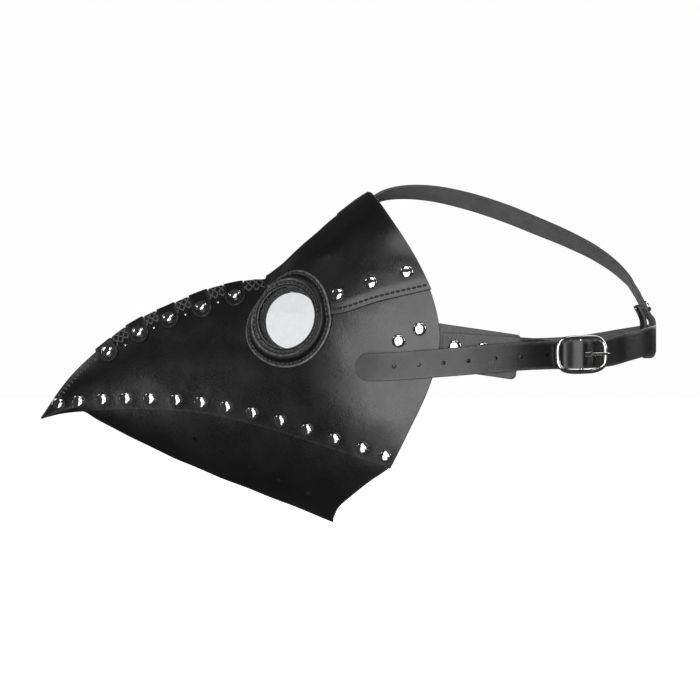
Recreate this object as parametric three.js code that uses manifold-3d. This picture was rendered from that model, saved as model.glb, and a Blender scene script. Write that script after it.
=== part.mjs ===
// Plague doctor mask in riveted leather. Millimetres, +Z up, beak towards -Y, wearer's left at +X.
// The origin is the centre of the face opening, on the mask's middle plane.
import * as THREE from 'three';
import { mergeVertices } from 'three/addons/utils/BufferGeometryUtils.js';
import Module from 'manifold-3d';

const wasm = await Module();
wasm.setup();

// Leather, gaps and rivets
const LEATHER = 1.6;
const GAP = 0.3;
const RIVET_CAP_RADIUS = 4.2;
const RIVET_CAP_HEIGHT = 2.5;
const RIVET_POST_RADIUS = 1.4;
const RIVET_BACK_RADIUS = 2.6;
const RIVET_BACK_THICKNESS = 0.8;
const RIVET_HOLE_RADIUS = RIVET_POST_RADIUS + 1.5 * GAP;

// Layers, measured along the shell's normal from the outer face of the side panels
const LAYER_GAP = 1;
const SIDE_LAYER = [-LEATHER, 0];
const UNDER_LAYER = [-2 * LEATHER - LAYER_GAP, -LEATHER - LAYER_GAP];
const OVER_LAYER = [LAYER_GAP, LAYER_GAP + LEATHER];
const PATCH_LAYER = [LAYER_GAP + LEATHER + GAP, LAYER_GAP + 2 * LEATHER];

// Shell stations along Y: [y, value]
const TIP_Y = -239;
const RIDGE_Z = [[-239, -47.5], [-226, -28.5], [-208, -9], [-184, 10.5], [-150, 27], [-110, 41],
  [-91, 44.5], [-80, 49.8], [-66, 62], [-43, 82], [-22, 98.4], [5, 111.5], [40, 120]];
const BELLY_Z = [[-239, -49.6], [-226, -46.3], [-211, -46.2], [-203, -51], [-45, -121.4], [0, -141],
  [40, -159]];
const WIDEST_Z = [[-239, -48.6], [-211, -38], [-150, -20], [-75, -2], [0, 2], [40, 2]];
const HALF_WIDTH = [[-239, 2.2], [-211, 8.5], [-180, 16], [-145, 25], [-110, 37], [-75, 52],
  [-45, 64], [-10, 72.5], [20, 75], [40, 75.5]];
const ROOF_START_Y = -60;
const ROOF_END_Y = -100;

// Edges of the panels in side view
const SEAM_Z = [[-239, -49.3], [-226, -46], [-211, -44.3], [-151, -43.1], [-129, -44.8],
  [-85, -54], [-46, -66], [-8, -78.2], [30, -90]];
const BROW_Z = [[-91, 41.5], [-84, 33], [-70, 23], [-42, 19], [-17, 26.3], [17, 34], [30, 37]];
const BROW_OVERLAP = 21;
const SEAM_OVERLAP = 13;
const FOREHEAD_FRONT_Y = -89;
const CHIN_FRONT_Y = -213;
const SIDE_BACK_Y = [[-82, -10], [-55.6, 2.4], [-29.5, 14.4], [-10, 20.6], [4, 22.4], [15, 21.2],
  [33.5, 16.4], [56, 6.5]];
const FOREHEAD_BACK_Y = [[33, 17.5], [50, 9.5], [83.5, -9.9], [104, -22]];
const CHIN_BACK_Y = [[-118, -46], [-106, -40.8], [-96.6, -31.2], [-87.7, -21.1], [-79, -10],
  [-62, -4]];
const PATCH_FRONT_Y = -42;
const PATCH_ANGLE = 0.88;
const VENT_RADIUS = 1.75;
const VENTS = [[-136, -62.6], [-118, -71.3], [-99, -80.4], [-80.3, -89.2], [-61.2, -97.8]];

// Straps over the ridge
const BAND_RIVETS = [[-193.7, -4.5], [-172.9, 8], [-152.8, 17.1], [-130.8, 24.3], [-108.9, 31.9]];
const BAND_HALF_WIDTH = 6.6;
const BAND_SHARES = [-1, -0.97, -0.85, -0.65, -0.4, -0.18, 0, 0.18, 0.4, 0.65, 0.85, 0.97, 1];

// Eyes
const EYE = [-73, 17];
const EYE_YAW = 24;
const EYE_PITCH = 8;
const EYE_HOLE_RADIUS = 25.5;
const FLANGE_RADIUS = 31.5;
const LENS_RADIUS = 23;
const LENS_THICKNESS = 1.2;
const LENS_SEAT = 1.4;
const APERTURE_RADIUS = 19.8;
const RETAINER_RADIUS = 23.6;
const RETAINER_INNER_RADIUS = 21.2;
const RETAINER_THICKNESS = 1.2;
const FLANGE_LIFT = OVER_LAYER[1] + 5 * GAP;
// Section of a padded ring: [radius, height, how far it follows the shell below it]
const RING_SECTION = [[FLANGE_RADIUS, 0, 1], [FLANGE_RADIUS, 1.3, 1], [29, 2, 0.9], [26.8, 4.4, 0.6],
  [24.2, 4.6, 0.2], [APERTURE_RADIUS, 2.8, 0], [APERTURE_RADIUS, LENS_SEAT, 0],
  [LENS_RADIUS + GAP, LENS_SEAT, 0], [LENS_RADIUS + GAP, -0.6, 0], [24.9, -0.4, 0], [25.3, 1, 0.5]];

// Other rivets, in side view
const BROW_RIVETS = [[-40.3, 30.8], [-19.8, 38], [2, 44.3]];
const TAB_RIVETS = [[-3.3, 2.3], [9.6, 9.6]];
const STRAP_RIVETS = [[31.3, -1.2], [48.9, -2.7]];

// Straps and buckle
const STRAP_WIDTH = 17.4;
const STRAP_THICKNESS = 2;
const STRAP_GAP = 0.4;
const TAB_WIDTH = 28;
const TAB_X = 70.8;
const TAB_Z = 2.3;
const TAB_SLOPE = -0.146;
const TAB_STATION_Y = [-14, -8, 0, 8, 16, 24, 40, 56, 71];
const TAB_LEAVES_SHELL_Y = 16;
const BUCKLE_STRAP_THICKNESS = 1.4;
const BUCKLE_STRAP_X = TAB_X + LEATHER / 2 + STRAP_GAP + BUCKLE_STRAP_THICKNESS / 2;
const FAR_STRAP_X = TAB_X + LEATHER / 2 + STRAP_GAP + STRAP_THICKNESS / 2;
const BUCKLE_CENTRE = new THREE.Vector3(67, 110.8, -6.1);
const BUCKLE_ALONG = new THREE.Vector3(-0.27, 0.96, 0.03).normalize();
const BUCKLE_LENGTH = 35;
const BUCKLE_HEIGHT = 24.2;
const BUCKLE_WIRE = 1.35;
const CENTRE_BAR_RADIUS = 1.2;
const CENTRE_BAR_OUT = -1;
const TONGUE_RADIUS = 0.85;
const TONGUE_LOOP_RADIUS = 2.4;
const HOLE_RADIUS = 1.2;
const STRAP_HOLE_Y = [-6.4, 8.6, 23.8, 39.1, 55.8, 71.6, 88.6];
const TAIL_TIP = 8.7;
const BACK_Y = 165;
// Straps at the buckle, in the buckle's own frame: [along, out, up]
const REAR_STRAP_AT_BUCKLE = [[-14.6, -2.9, 0], [-10.4, -2.6, 0], [-5, 1.7, 0], [0, 3.7, 0],
  [5, 1.7, 0], [10.4, -2.6, 0], [14.6, -2.9, 0.2], [21, -2.3, 0.9]];
const BUCKLE_STRAP_CLIMB = [[-14.6, -5.3, 0], [-10.4, -5, 0], [-5, -1.2, 0]];
const BUCKLE_STRAP_RETURN = [[-4.5, -4.7, 0], [-10.4, -7.1, 0], [-14.6, -7.3, 0], [-22, -6.3, 0],
  [-33, -6, 0]];
// Crown strap and its loop, in the middle plane: [y, z]
const CROWN_ROUTE = [[-42, 78.2], [-32, 86.6], [-21, 94.6], [-11, 99.6], [2, 101.8], [21, 101], [44, 96.2],
  [68, 88.6], [92, 79], [113, 70], [130, 61.2], [143, 52], [151.5, 43.6], [157.4, 35]];
const CROWN_LEAN = 33;
const CROWN_LEAN_START = 0.12;
const CROWN_LEAN_END = 0.96;
const LOOP_WIDTH = STRAP_WIDTH - 2;
const LOOP_MIDDLE_Z = 5;
const LOOP_HALF_HEIGHT = STRAP_WIDTH / 2 + 1.6;
const LOOP_HALF_DEPTH = STRAP_THICKNESS + 0.9;
const LOOP_OUTER_END = [[158.5, 33], [162, 26.4], [165, 20.5]];
const LOOP_INNER_END = [[160.6, 20.6], [157.6, 26.4]];
const LOOP_PIN = [161.2, 24.2];
const LOOP_PIN_DIRECTION = [0.86, 0.5];
const LOOP_PIN_REACH = 3.2;

const v = (x, y, z) => new THREE.Vector3(x, y, z);
const upright = () => v(0, 0, 1);

// Smooth curve through stations [t, value]; its slope never overshoots a station.
function smoothCurve(stations) {
  const slopes = stations.slice(1).map(([t, v], i) => (v - stations[i][1]) / (t - stations[i][0]));
  const tangents = stations.map(([t], i) => {
    if (i === 0) return slopes[0];
    if (i === slopes.length) return slopes[i - 1];
    const before = t - stations[i - 1][0];
    const after = stations[i + 1][0] - t;
    return (slopes[i - 1] * after + slopes[i] * before) / (before + after);
  });
  return (t) => {
    const last = stations.length - 2;
    let i = 0;
    while (i < last && t > stations[i + 1][0]) i += 1;
    const step = stations[i + 1][0] - stations[i][0];
    const s = THREE.MathUtils.clamp((t - stations[i][0]) / step, 0, 1);
    const rise = stations[i + 1][1] - stations[i][1];
    const blend = s * s * (3 - 2 * s);
    const lean = s * (1 - s) * ((1 - s) * tangents[i] - s * tangents[i + 1]) * step;
    return stations[i][1] + blend * rise + lean;
  };
}

const ridgeZ = smoothCurve(RIDGE_Z);
const bellyZ = smoothCurve(BELLY_Z);
const widestZ = smoothCurve(WIDEST_Z);
const halfWidth = smoothCurve(HALF_WIDTH);
const seamZ = smoothCurve(SEAM_Z);
const browZ = smoothCurve(BROW_Z);
const sideBackY = smoothCurve(SIDE_BACK_Y);
const foreheadBackY = smoothCurve(FOREHEAD_BACK_Y);
const chinBackY = smoothCurve(CHIN_BACK_Y);

// 0 on the beak, where the section is a roof, and 1 at the face, where it is round.
function roundness(y) {
  return THREE.MathUtils.smoothstep(y, ROOF_END_Y, ROOF_START_Y);
}

// Half-section at y: the share of the half-width left at u, 0 at the widest point and 1 at an end.
function upperShare(y, u) {
  const round = roundness(y);
  return (1 - u ** (1.8 + 0.6 * round)) ** (1 / (1 + round));
}

function lowerShare(u) {
  return (1 - u ** 2.2) ** (1 / 1.8);
}

// Point of the left half of the shell; a runs from -1 at the belly to 1 at the ridge.
function shellPoint(y, a) {
  const u = Math.min(Math.sin((Math.PI / 2) * Math.abs(a)), 1);
  const end = a > 0 ? ridgeZ(y) : bellyZ(y);
  const share = a > 0 ? upperShare(y, u) : lowerShare(u);
  return new THREE.Vector3(halfWidth(y) * share, y, widestZ(y) + u * (end - widestZ(y)));
}

function angleAt(y, z) {
  const end = z > widestZ(y) ? ridgeZ(y) : bellyZ(y);
  const u = THREE.MathUtils.clamp((z - widestZ(y)) / (end - widestZ(y)), 0, 1);
  return Math.sign(z - widestZ(y)) * Math.asin(u) * (2 / Math.PI);
}

function surface(y, z) {
  return shellPoint(y, angleAt(y, z));
}

function surfaceNormal(y, z) {
  const step = 0.5;
  const alongY = surface(y + step, z).sub(surface(y - step, z));
  const alongZ = surface(y, z + step).sub(surface(y, z - step));
  return alongY.cross(alongZ).normalize();
}

function geometryFrom(positions, indices) {
  const geometry = new THREE.BufferGeometry();
  geometry.setAttribute('position', new THREE.Float32BufferAttribute(positions, 3));
  geometry.setIndex(indices);
  return geometry;
}

function gridNormal(grid, i, j) {
  const before = grid[Math.max(i - 1, 0)][j];
  const after = grid[Math.min(i + 1, grid.length - 1)][j];
  const row = grid[i];
  const up = row[Math.max(j - 1, 0)];
  const down = row[Math.min(j + 1, row.length - 1)];
  return up.clone().sub(down).cross(before.clone().sub(after)).normalize();
}

// Closed sheet between two offsets of a grid of points; keep pulls each point back into its side.
function thickGrid(grid, [inner, outer], keep = (point) => point) {
  const columns = grid.length;
  const rows = grid[0].length;
  const positions = [];
  const indices = [];
  for (const offset of [outer, inner]) {
    for (let i = 0; i < columns; i += 1) {
      for (let j = 0; j < rows; j += 1) {
        const point = grid[i][j].clone().addScaledVector(gridNormal(grid, i, j), offset);
        positions.push(...keep(point));
      }
    }
  }
  const at = (i, j, layer) => layer * columns * rows + i * rows + j;
  const quad = (a, b, c, d) => indices.push(a, b, c, a, c, d);
  for (let i = 0; i < columns - 1; i += 1) {
    for (let j = 0; j < rows - 1; j += 1) {
      quad(at(i, j, 0), at(i, j + 1, 0), at(i + 1, j + 1, 0), at(i + 1, j, 0));
      quad(at(i, j, 1), at(i + 1, j, 1), at(i + 1, j + 1, 1), at(i, j + 1, 1));
    }
    quad(at(i, 0, 0), at(i + 1, 0, 0), at(i + 1, 0, 1), at(i, 0, 1));
    quad(at(i, rows - 1, 0), at(i, rows - 1, 1), at(i + 1, rows - 1, 1), at(i + 1, rows - 1, 0));
  }
  for (let j = 0; j < rows - 1; j += 1) {
    quad(at(0, j, 0), at(0, j, 1), at(0, j + 1, 1), at(0, j + 1, 0));
    const last = columns - 1;
    quad(at(last, j, 0), at(last, j + 1, 0), at(last, j + 1, 1), at(last, j, 1));
  }
  return geometryFrom(positions, indices);
}

function toSolid(source) {
  let geometry = source.clone();
  geometry.deleteAttribute('normal');
  geometry.deleteAttribute('uv');
  geometry = mergeVertices(geometry, 1e-4);
  return new wasm.Manifold(new wasm.Mesh({
    numProp: 3,
    vertProperties: new Float32Array(geometry.attributes.position.array),
    triVerts: new Uint32Array(geometry.index.array),
  }));
}

function toGeometry(solid) {
  const mesh = solid.getMesh();
  return geometryFrom(Array.from(mesh.vertProperties), Array.from(mesh.triVerts));
}

function cut(geometry, tools) {
  return toGeometry(tools.reduce((solid, tool) => solid.subtract(toSolid(tool)), toSolid(geometry)));
}

function join(geometries) {
  const [first, ...rest] = geometries.map(toSolid);
  return toGeometry(rest.reduce((whole, solid) => whole.add(solid), first));
}

function mirrored(geometry) {
  const copy = geometry.clone().scale(-1, 1, 1);
  const index = Array.from(copy.index.array);
  for (let i = 0; i < index.length; i += 3) {
    [index[i], index[i + 1]] = [index[i + 1], index[i]];
  }
  copy.setIndex(index);
  return copy;
}

// Round cutter through a point, along a direction.
function drill(point, direction, radius, reach, sides = 6) {
  const tool = new THREE.CylinderGeometry(radius, radius, 2 * reach, sides);
  const turn = new THREE.Quaternion().setFromUnitVectors(v(0, 1, 0), direction);
  return tool.applyQuaternion(turn).translate(...point);
}

function shellDrill([y, z], radius = RIVET_HOLE_RADIUS) {
  return drill(surface(y, z), surfaceNormal(y, z), radius, 6);
}

// Finds y on a row of a panel where the row meets the panel's back edge.
function backOfRow(backY, zOfRow) {
  let y = 0;
  for (let i = 0; i < 60; i += 1) {
    y += 0.5 * (backY(zOfRow(y)) - y);
  }
  return y;
}

// Panel of one half of the shell, or across the middle where rows run from -1 to 1.
function panelGrid({ columns, rows, frontY, backY, startA, endA, across = false }) {
  const spacing = (k, count) => (across ? (2 * k) / count - 1 : k / count);
  const rowBacks = [];
  for (let j = 0; j <= rows; j += 1) {
    const share = Math.abs(spacing(j, rows));
    const angle = (y) => THREE.MathUtils.lerp(startA(y), endA(y), share);
    rowBacks.push(backOfRow(backY, (y) => shellPoint(y, angle(y)).z));
  }
  const grid = [];
  for (let i = 0; i <= columns; i += 1) {
    const column = [];
    for (let j = 0; j <= rows; j += 1) {
      const place = spacing(j, rows);
      const y = THREE.MathUtils.lerp(frontY, rowBacks[j], i / columns);
      const point = shellPoint(y, THREE.MathUtils.lerp(startA(y), endA(y), Math.abs(place)));
      if (place < 0) point.x *= -1;
      column.push(point);
    }
    grid.push(column);
  }
  return grid;
}

function eyeFrame() {
  const yaw = THREE.MathUtils.degToRad(EYE_YAW);
  const pitch = THREE.MathUtils.degToRad(EYE_PITCH);
  const level = Math.cos(pitch);
  const out = v(Math.cos(yaw) * level, -Math.sin(yaw) * level, Math.sin(pitch));
  const side = upright().cross(out).normalize();
  const up = out.clone().cross(side);
  return new THREE.Matrix4().makeBasis(side, up, out).setPosition(surface(...EYE));
}

const EYE_FRAME = eyeFrame();

// Height over the eye's plane, at a place in it, that clears the shell by the lift.
function shellHeight(u, w, lift) {
  let low = -25;
  let high = 12;
  for (let i = 0; i < 40; i += 1) {
    const middle = (low + high) / 2;
    const point = v(u, w, middle).applyMatrix4(EYE_FRAME);
    const clearance = (point.x - surface(point.y, point.z).x) * surfaceNormal(point.y, point.z).x;
    if (clearance > lift) high = middle;
    else low = middle;
  }
  return low;
}

// Ring from a closed profile of [radius, height, share]; share is how far it follows the shell.
function eyeRing(profile, lift, sides = 28) {
  const grid = [];
  for (let i = 0; i < sides; i += 1) {
    const turn = (2 * Math.PI * i) / sides;
    grid.push(profile.map(([radius, height, share]) => {
      const u = radius * Math.cos(turn);
      const w = radius * Math.sin(turn);
      const follow = share > 0 ? share * shellHeight(u, w, lift) : 0;
      return v(u, w, height + follow).applyMatrix4(EYE_FRAME);
    }));
  }
  const count = profile.length;
  const indices = [];
  for (let i = 0; i < sides; i += 1) {
    const next = (i + 1) % sides;
    for (let j = 0; j < count; j += 1) {
      const below = (j + 1) % count;
      indices.push(i * count + j, next * count + j, next * count + below);
      indices.push(i * count + j, next * count + below, i * count + below);
    }
  }
  return geometryFrom(grid.flat().flatMap((point) => [...point]), indices);
}

// Flat strip along a path of {point, across, width}: its thickness lies across both.
function ribbon(stations, thickness) {
  const positions = [];
  const indices = [];
  stations.forEach(({ point, across, width }, i) => {
    const before = stations[Math.max(i - 1, 0)].point;
    const after = stations[Math.min(i + 1, stations.length - 1)].point;
    const along = after.clone().sub(before).normalize();
    const out = along.clone().cross(across).normalize();
    for (const [a, b] of [[1, 1], [-1, 1], [-1, -1], [1, -1]]) {
      const corner = point.clone().addScaledVector(across, (a * width) / 2);
      positions.push(...corner.addScaledVector(out, (b * thickness) / 2));
    }
  });
  for (let i = 0; i < stations.length - 1; i += 1) {
    for (let k = 0; k < 4; k += 1) {
      const a = 4 * i + k;
      const b = 4 * i + ((k + 1) % 4);
      indices.push(a, b, b + 4, a, b + 4, a + 4);
    }
  }
  const end = 4 * (stations.length - 1);
  indices.push(0, 2, 1, 0, 3, 2, end, end + 1, end + 2, end, end + 2, end + 3);
  return geometryFrom(positions, indices);
}

const TIP_SHARES = [0.02, 0.15, 0.4, 0.7];

// Evenly spaced stations along a smooth path; its start is a round tip of the given length.
function strapStations(points, steps, width, acrossAt, tip = 0) {
  const curve = new THREE.CatmullRomCurve3(points, false, 'centripetal');
  const length = curve.getLength();
  const places = tip > 0 ? TIP_SHARES.map((share) => (share * tip) / length) : [];
  for (let i = 0; i <= steps; i += 1) {
    places.push(tip / length + (1 - tip / length) * (i / steps));
  }
  return places.map((place) => {
    const left = 1 - Math.min((place * length) / Math.max(tip, 1e-6), 1);
    const point = curve.getPointAt(place);
    const along = curve.getTangentAt(place);
    const across = acrossAt(point, place);
    across.addScaledVector(along, -across.dot(along)).normalize();
    return { point, across, width: width * Math.sqrt(1 - left * left) };
  });
}

function lathe(profile, sides) {
  const geometry = new THREE.LatheGeometry(profile.map(([x, y]) => new THREE.Vector2(x, y)), sides);
  geometry.deleteAttribute('normal');
  geometry.deleteAttribute('uv');
  return mergeVertices(geometry, 1e-3);
}

// Domed rivet with its post and back, through layers between two offsets; its axis is +Y.
function rivetGeometry([inner, outer]) {
  const back = inner - 2 * GAP;
  const seat = outer + GAP;
  const top = seat + RIVET_CAP_HEIGHT;
  const dome = (share, height) => [RIVET_CAP_RADIUS * share, seat + RIVET_CAP_HEIGHT * height];
  return lathe([[0, back - RIVET_BACK_THICKNESS], [RIVET_BACK_RADIUS, back - RIVET_BACK_THICKNESS],
    [RIVET_BACK_RADIUS, back], [RIVET_POST_RADIUS, back], [RIVET_POST_RADIUS, seat],
    [RIVET_CAP_RADIUS, seat], dome(0.8, 0.62), [0, top]], 8);
}

const model = new THREE.Group();

function material(color, roughness, metalness = 0, opacity = 1) {
  const transparent = opacity < 1;
  return new THREE.MeshStandardMaterial({ color, roughness, metalness, opacity, transparent });
}

const FINISH = {
  leather: () => material(0x1c1c1c, 0.45),
  strap: () => material(0x2a2a2a, 0.5),
  metal: () => material(0xc8c8c8, 0.15, 1),
  lens: () => material(0xdde2e2, 0.05, 0, 0.3),
};

function add(name, geometry, finish, parent = model) {
  const mesh = new THREE.Mesh(geometry, FINISH[finish]());
  mesh.name = name;
  parent.add(mesh);
  return mesh;
}

function addPair(name, geometry, finish) {
  add(`left_${name}`, geometry, finish);
  add(`right_${name}`, mirrored(geometry), finish);
}

function addRivet(name, point, direction, layers) {
  const rivet = add(name, rivetGeometry(layers), 'metal');
  rivet.quaternion.setFromUnitVectors(v(0, 1, 0), direction);
  rivet.position.copy(point);
}

function addShellRivets(name, places, layers) {
  places.forEach(([y, z], i) => {
    const point = surface(y, z);
    const normal = surfaceNormal(y, z);
    addRivet(`left_${name}_${i + 1}`, point, normal, layers);
    const flip = v(-1, 1, 1);
    addRivet(`right_${name}_${i + 1}`, point.multiply(flip), normal.multiply(flip), layers);
  });
}

// The eye's opening goes through both panels on each side.
function eyeCutter() {
  const tool = new THREE.CylinderGeometry(EYE_HOLE_RADIUS, EYE_HOLE_RADIUS, 60, 24);
  return tool.rotateX(Math.PI / 2).applyMatrix4(EYE_FRAME);
}

function bothSides(tools) {
  return tools.flatMap((tool) => [tool, mirrored(tool)]);
}

function addSidePanels() {
  const leftOfMiddle = (point) => point.setX(Math.max(point.x, GAP / 2));
  const underBrow = (y) => angleAt(y, Math.min(browZ(y) + BROW_OVERLAP, ridgeZ(y)));
  const grid = panelGrid({
    columns: 26,
    rows: 9,
    frontY: TIP_Y,
    backY: sideBackY,
    startA: (y) => (y < FOREHEAD_FRONT_Y ? 1 : underBrow(y)),
    endA: (y) => angleAt(y, seamZ(y)),
  });
  const places = [...BAND_RIVETS, ...BROW_RIVETS, ...TAB_RIVETS];
  const holes = [eyeCutter(), ...places.map((place) => shellDrill(place))];
  addPair('side_panel', cut(thickGrid(grid, SIDE_LAYER, leftOfMiddle), holes), 'leather');
}

function addForehead() {
  const grid = panelGrid({
    columns: 12,
    rows: 16,
    frontY: FOREHEAD_FRONT_Y,
    backY: foreheadBackY,
    startA: () => 1,
    endA: (y) => angleAt(y, browZ(y)),
    across: true,
  });
  const holes = bothSides([eyeCutter(), ...BROW_RIVETS.map((place) => shellDrill(place))]);
  add('forehead_panel', cut(thickGrid(grid, OVER_LAYER), holes), 'leather');
}

function addChin() {
  const grid = panelGrid({
    columns: 14,
    rows: 12,
    frontY: CHIN_FRONT_Y,
    backY: chinBackY,
    startA: () => -1,
    endA: (y) => angleAt(y, seamZ(y) + SEAM_OVERLAP),
    across: true,
  });
  grid.forEach((column) => column.reverse());
  const vents = bothSides(VENTS.map((place) => shellDrill(place, VENT_RADIUS)));
  add('chin_panel', cut(thickGrid(grid, UNDER_LAYER), vents), 'leather');
}

function addPatch() {
  const grid = panelGrid({
    columns: 4,
    rows: 6,
    frontY: PATCH_FRONT_Y,
    backY: (z) => foreheadBackY(z) - 1,
    startA: () => 1,
    endA: () => PATCH_ANGLE,
    across: true,
  });
  add('crown_patch', thickGrid(grid, PATCH_LAYER), 'leather');
}

// A ridge band runs square to the ridge, and its round ends sit round its rivets.
function bandGrid([rivetY, rivetZ]) {
  const slope = (y) => (ridgeZ(y + 2) - ridgeZ(y - 2)) / 4;
  let footY = rivetY;
  for (let i = 0; i < 30; i += 1) {
    footY += 0.3 * (rivetY - footY + (rivetZ - ridgeZ(footY)) * slope(footY));
  }
  const drop = new THREE.Vector2(rivetY - footY, rivetZ - ridgeZ(footY));
  const reach = drop.length() + BAND_HALF_WIDTH;
  const down = drop.clone().normalize();
  const along = new THREE.Vector2(-down.y, down.x);
  return [-1, 0, 1].map((k) => BAND_SHARES.map((share) => {
    const distance = reach * Math.abs(share);
    const past = THREE.MathUtils.clamp((distance - drop.length()) / BAND_HALF_WIDTH, 0, 1);
    const width = BAND_HALF_WIDTH * Math.max(Math.sqrt(1 - past * past), 0.25);
    const y = footY + down.x * distance + along.x * k * width;
    const shift = ridgeZ(footY + along.x * k * width) - ridgeZ(footY);
    const z = Math.min(ridgeZ(footY) + down.y * distance + shift, ridgeZ(y));
    const point = surface(y, z);
    return point.setX(point.x * Math.sign(share));
  }));
}

function addBands() {
  BAND_RIVETS.forEach((place, i) => {
    const grid = bandGrid(place);
    const holes = bothSides([shellDrill(place)]);
    add(`ridge_band_${i + 1}`, cut(thickGrid(grid, OVER_LAYER), holes), 'leather');
  });
}

function addEyes() {
  addPair('eye_ring', eyeRing(RING_SECTION, FLANGE_LIFT), 'leather');
  const place = (geometry) => geometry.rotateX(Math.PI / 2).applyMatrix4(EYE_FRAME);
  const lensTop = LENS_SEAT - GAP;
  const lensBase = lensTop - LENS_THICKNESS;
  const lens = [[0, lensBase], [LENS_RADIUS, lensBase], [LENS_RADIUS, lensTop], [0, lensTop]];
  addPair('lens', place(lathe(lens, 24)), 'lens');
  const top = lensBase - 3 * GAP;
  const base = top - RETAINER_THICKNESS;
  const [inner, outer] = [RETAINER_INNER_RADIUS, RETAINER_RADIUS];
  const retainer = [[inner, base], [outer, base], [outer, top], [inner, top], [inner, base]];
  addPair('lens_retainer', place(lathe(retainer, 24)), 'leather');
}

function tabZ(y) {
  return TAB_Z + TAB_SLOPE * y;
}

function strapRivetDrills() {
  return STRAP_RIVETS.map(([y, z]) => drill(v(TAB_X, y, z), v(1, 0, 0), RIVET_HOLE_RADIUS, 5));
}

// Anchor tab: under the side panel, then straight back behind its edge.
function addAnchorTabs() {
  const inside = (UNDER_LAYER[0] + UNDER_LAYER[1]) / 2 - GAP;
  const path = TAB_STATION_Y.map((y) => {
    const nearY = Math.min(y, TAB_LEAVES_SHELL_Y);
    const onShell = surface(nearY, tabZ(y)).addScaledVector(surfaceNormal(nearY, tabZ(y)), inside);
    const free = THREE.MathUtils.smoothstep(y, TAB_LEAVES_SHELL_Y - 10, TAB_LEAVES_SHELL_Y + 10);
    const point = v(THREE.MathUtils.lerp(onShell.x, TAB_X, free), y, tabZ(y));
    return { point, across: v(0, -TAB_SLOPE, 1).normalize(), width: TAB_WIDTH };
  });
  const holes = [...TAB_RIVETS.map((place) => shellDrill(place)), ...strapRivetDrills()];
  addPair('anchor_tab', cut(ribbon(path, LEATHER), holes), 'strap');
}

const BUCKLE_OUT = BUCKLE_ALONG.clone().cross(upright()).normalize();
const BUCKLE_UP = BUCKLE_OUT.clone().cross(BUCKLE_ALONG);
const BUCKLE_FRAME = new THREE.Matrix4()
  .makeBasis(BUCKLE_ALONG, BUCKLE_UP, BUCKLE_OUT)
  .setPosition(BUCKLE_CENTRE);

function atBuckle([along, out, up]) {
  return v(along, up, out).applyMatrix4(BUCKLE_FRAME);
}

// Place on the cheek, a height over the leather.
function onCheek(y, z, height) {
  return v(surface(y, z).x + height, y, z);
}

// Rear strap's line: the tail on the cheek, the buckle, the back of the head, the right tab.
function rearRoute() {
  const tail = [onCheek(-30, -13.8, 1.5), onCheek(-15, -13.9, 1.8), onCheek(2, -12.9, 2.2),
    v(77, 24, -11.2), v(78, 40, -9.9), v(77.4, 54, -8.6), v(75.6, 72, -7.3), v(72.4, 86, -6.6)];
  const back = [v(56.5, 139, -2.2), v(44, 154, 1.4), v(26, BACK_Y - 0.6, 3.8), v(14, BACK_Y, 4.6),
    v(0, BACK_Y, 5), v(-14, BACK_Y, 4.8), v(-26, BACK_Y - 0.6, 4.4), v(-44, 154, 2.4)];
  const far = [v(-58, 136, -0.8), v(-66, 114, -3), v(-71.4, 88, -3.6), v(-FAR_STRAP_X, 70, -3.2),
    v(-FAR_STRAP_X, 48, -2.7), v(-FAR_STRAP_X, 24, -0.8)];
  return [...tail, ...REAR_STRAP_AT_BUCKLE.map(atBuckle), ...back, ...far];
}

function addRearStrap() {
  const stations = strapStations(rearRoute(), 76, STRAP_WIDTH, upright, TAIL_TIP);
  const holes = STRAP_HOLE_Y.map((y) => {
    const offset = ({ point }) => (point.x > 0 ? Math.abs(point.y - y) : Infinity);
    const nearest = stations.reduce((a, b) => (offset(b) < offset(a) ? b : a));
    return drill(nearest.point.clone().setY(y), BUCKLE_OUT, HOLE_RADIUS, 3.2);
  });
  const slot = new THREE.BoxGeometry(9.6, 2.6, 9).translate(5.6, 0, 2).applyMatrix4(BUCKLE_FRAME);
  const farHoles = strapRivetDrills().map(mirrored);
  add('rear_strap', cut(ribbon(stations, STRAP_THICKNESS), [...holes, slot, ...farHoles]), 'strap');
}

function addStrapRivets() {
  const nearOuter = BUCKLE_STRAP_X + BUCKLE_STRAP_THICKNESS / 2 - TAB_X;
  const farOuter = FAR_STRAP_X + STRAP_THICKNESS / 2 - TAB_X;
  STRAP_RIVETS.forEach(([y, z], i) => {
    const [near, far] = [v(TAB_X, y, z), v(-TAB_X, y, z)];
    addRivet(`left_strap_rivet_${i + 1}`, near, v(1, 0, 0), [-LEATHER / 2, nearOuter]);
    addRivet(`right_strap_rivet_${i + 1}`, far, v(-1, 0, 0), [-LEATHER / 2, farOuter]);
  });
}

// Buckle strap: back from the tab, round the centre bar and under itself.
function addBuckleStrap() {
  const x = BUCKLE_STRAP_X;
  const fold = CENTRE_BAR_RADIUS + 1.5 * GAP + BUCKLE_STRAP_THICKNESS / 2;
  const outer = [v(x, 24, -1.2), v(x, 40, -2), v(x + 0.1, 58, -3.2), v(x + 0.3, 73, -4.2),
    v(70.3, 85.5, -5.2)];
  const bend = [];
  for (let i = 0; i <= 6; i += 1) {
    const turn = (Math.PI * i) / 6;
    bend.push([fold * Math.sin(turn), CENTRE_BAR_OUT + fold * Math.cos(turn), 0]);
  }
  const folded = [...BUCKLE_STRAP_CLIMB, ...bend, ...BUCKLE_STRAP_RETURN].map(atBuckle);
  const stations = strapStations([...outer, ...folded], 80, STRAP_WIDTH, upright);
  const slot = new THREE.BoxGeometry(8, 3, 9).translate(1, 0, CENTRE_BAR_OUT);
  const holes = [slot.applyMatrix4(BUCKLE_FRAME), ...strapRivetDrills()];
  add('buckle_strap', cut(ribbon(stations, BUCKLE_STRAP_THICKNESS), holes), 'strap');
}

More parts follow.
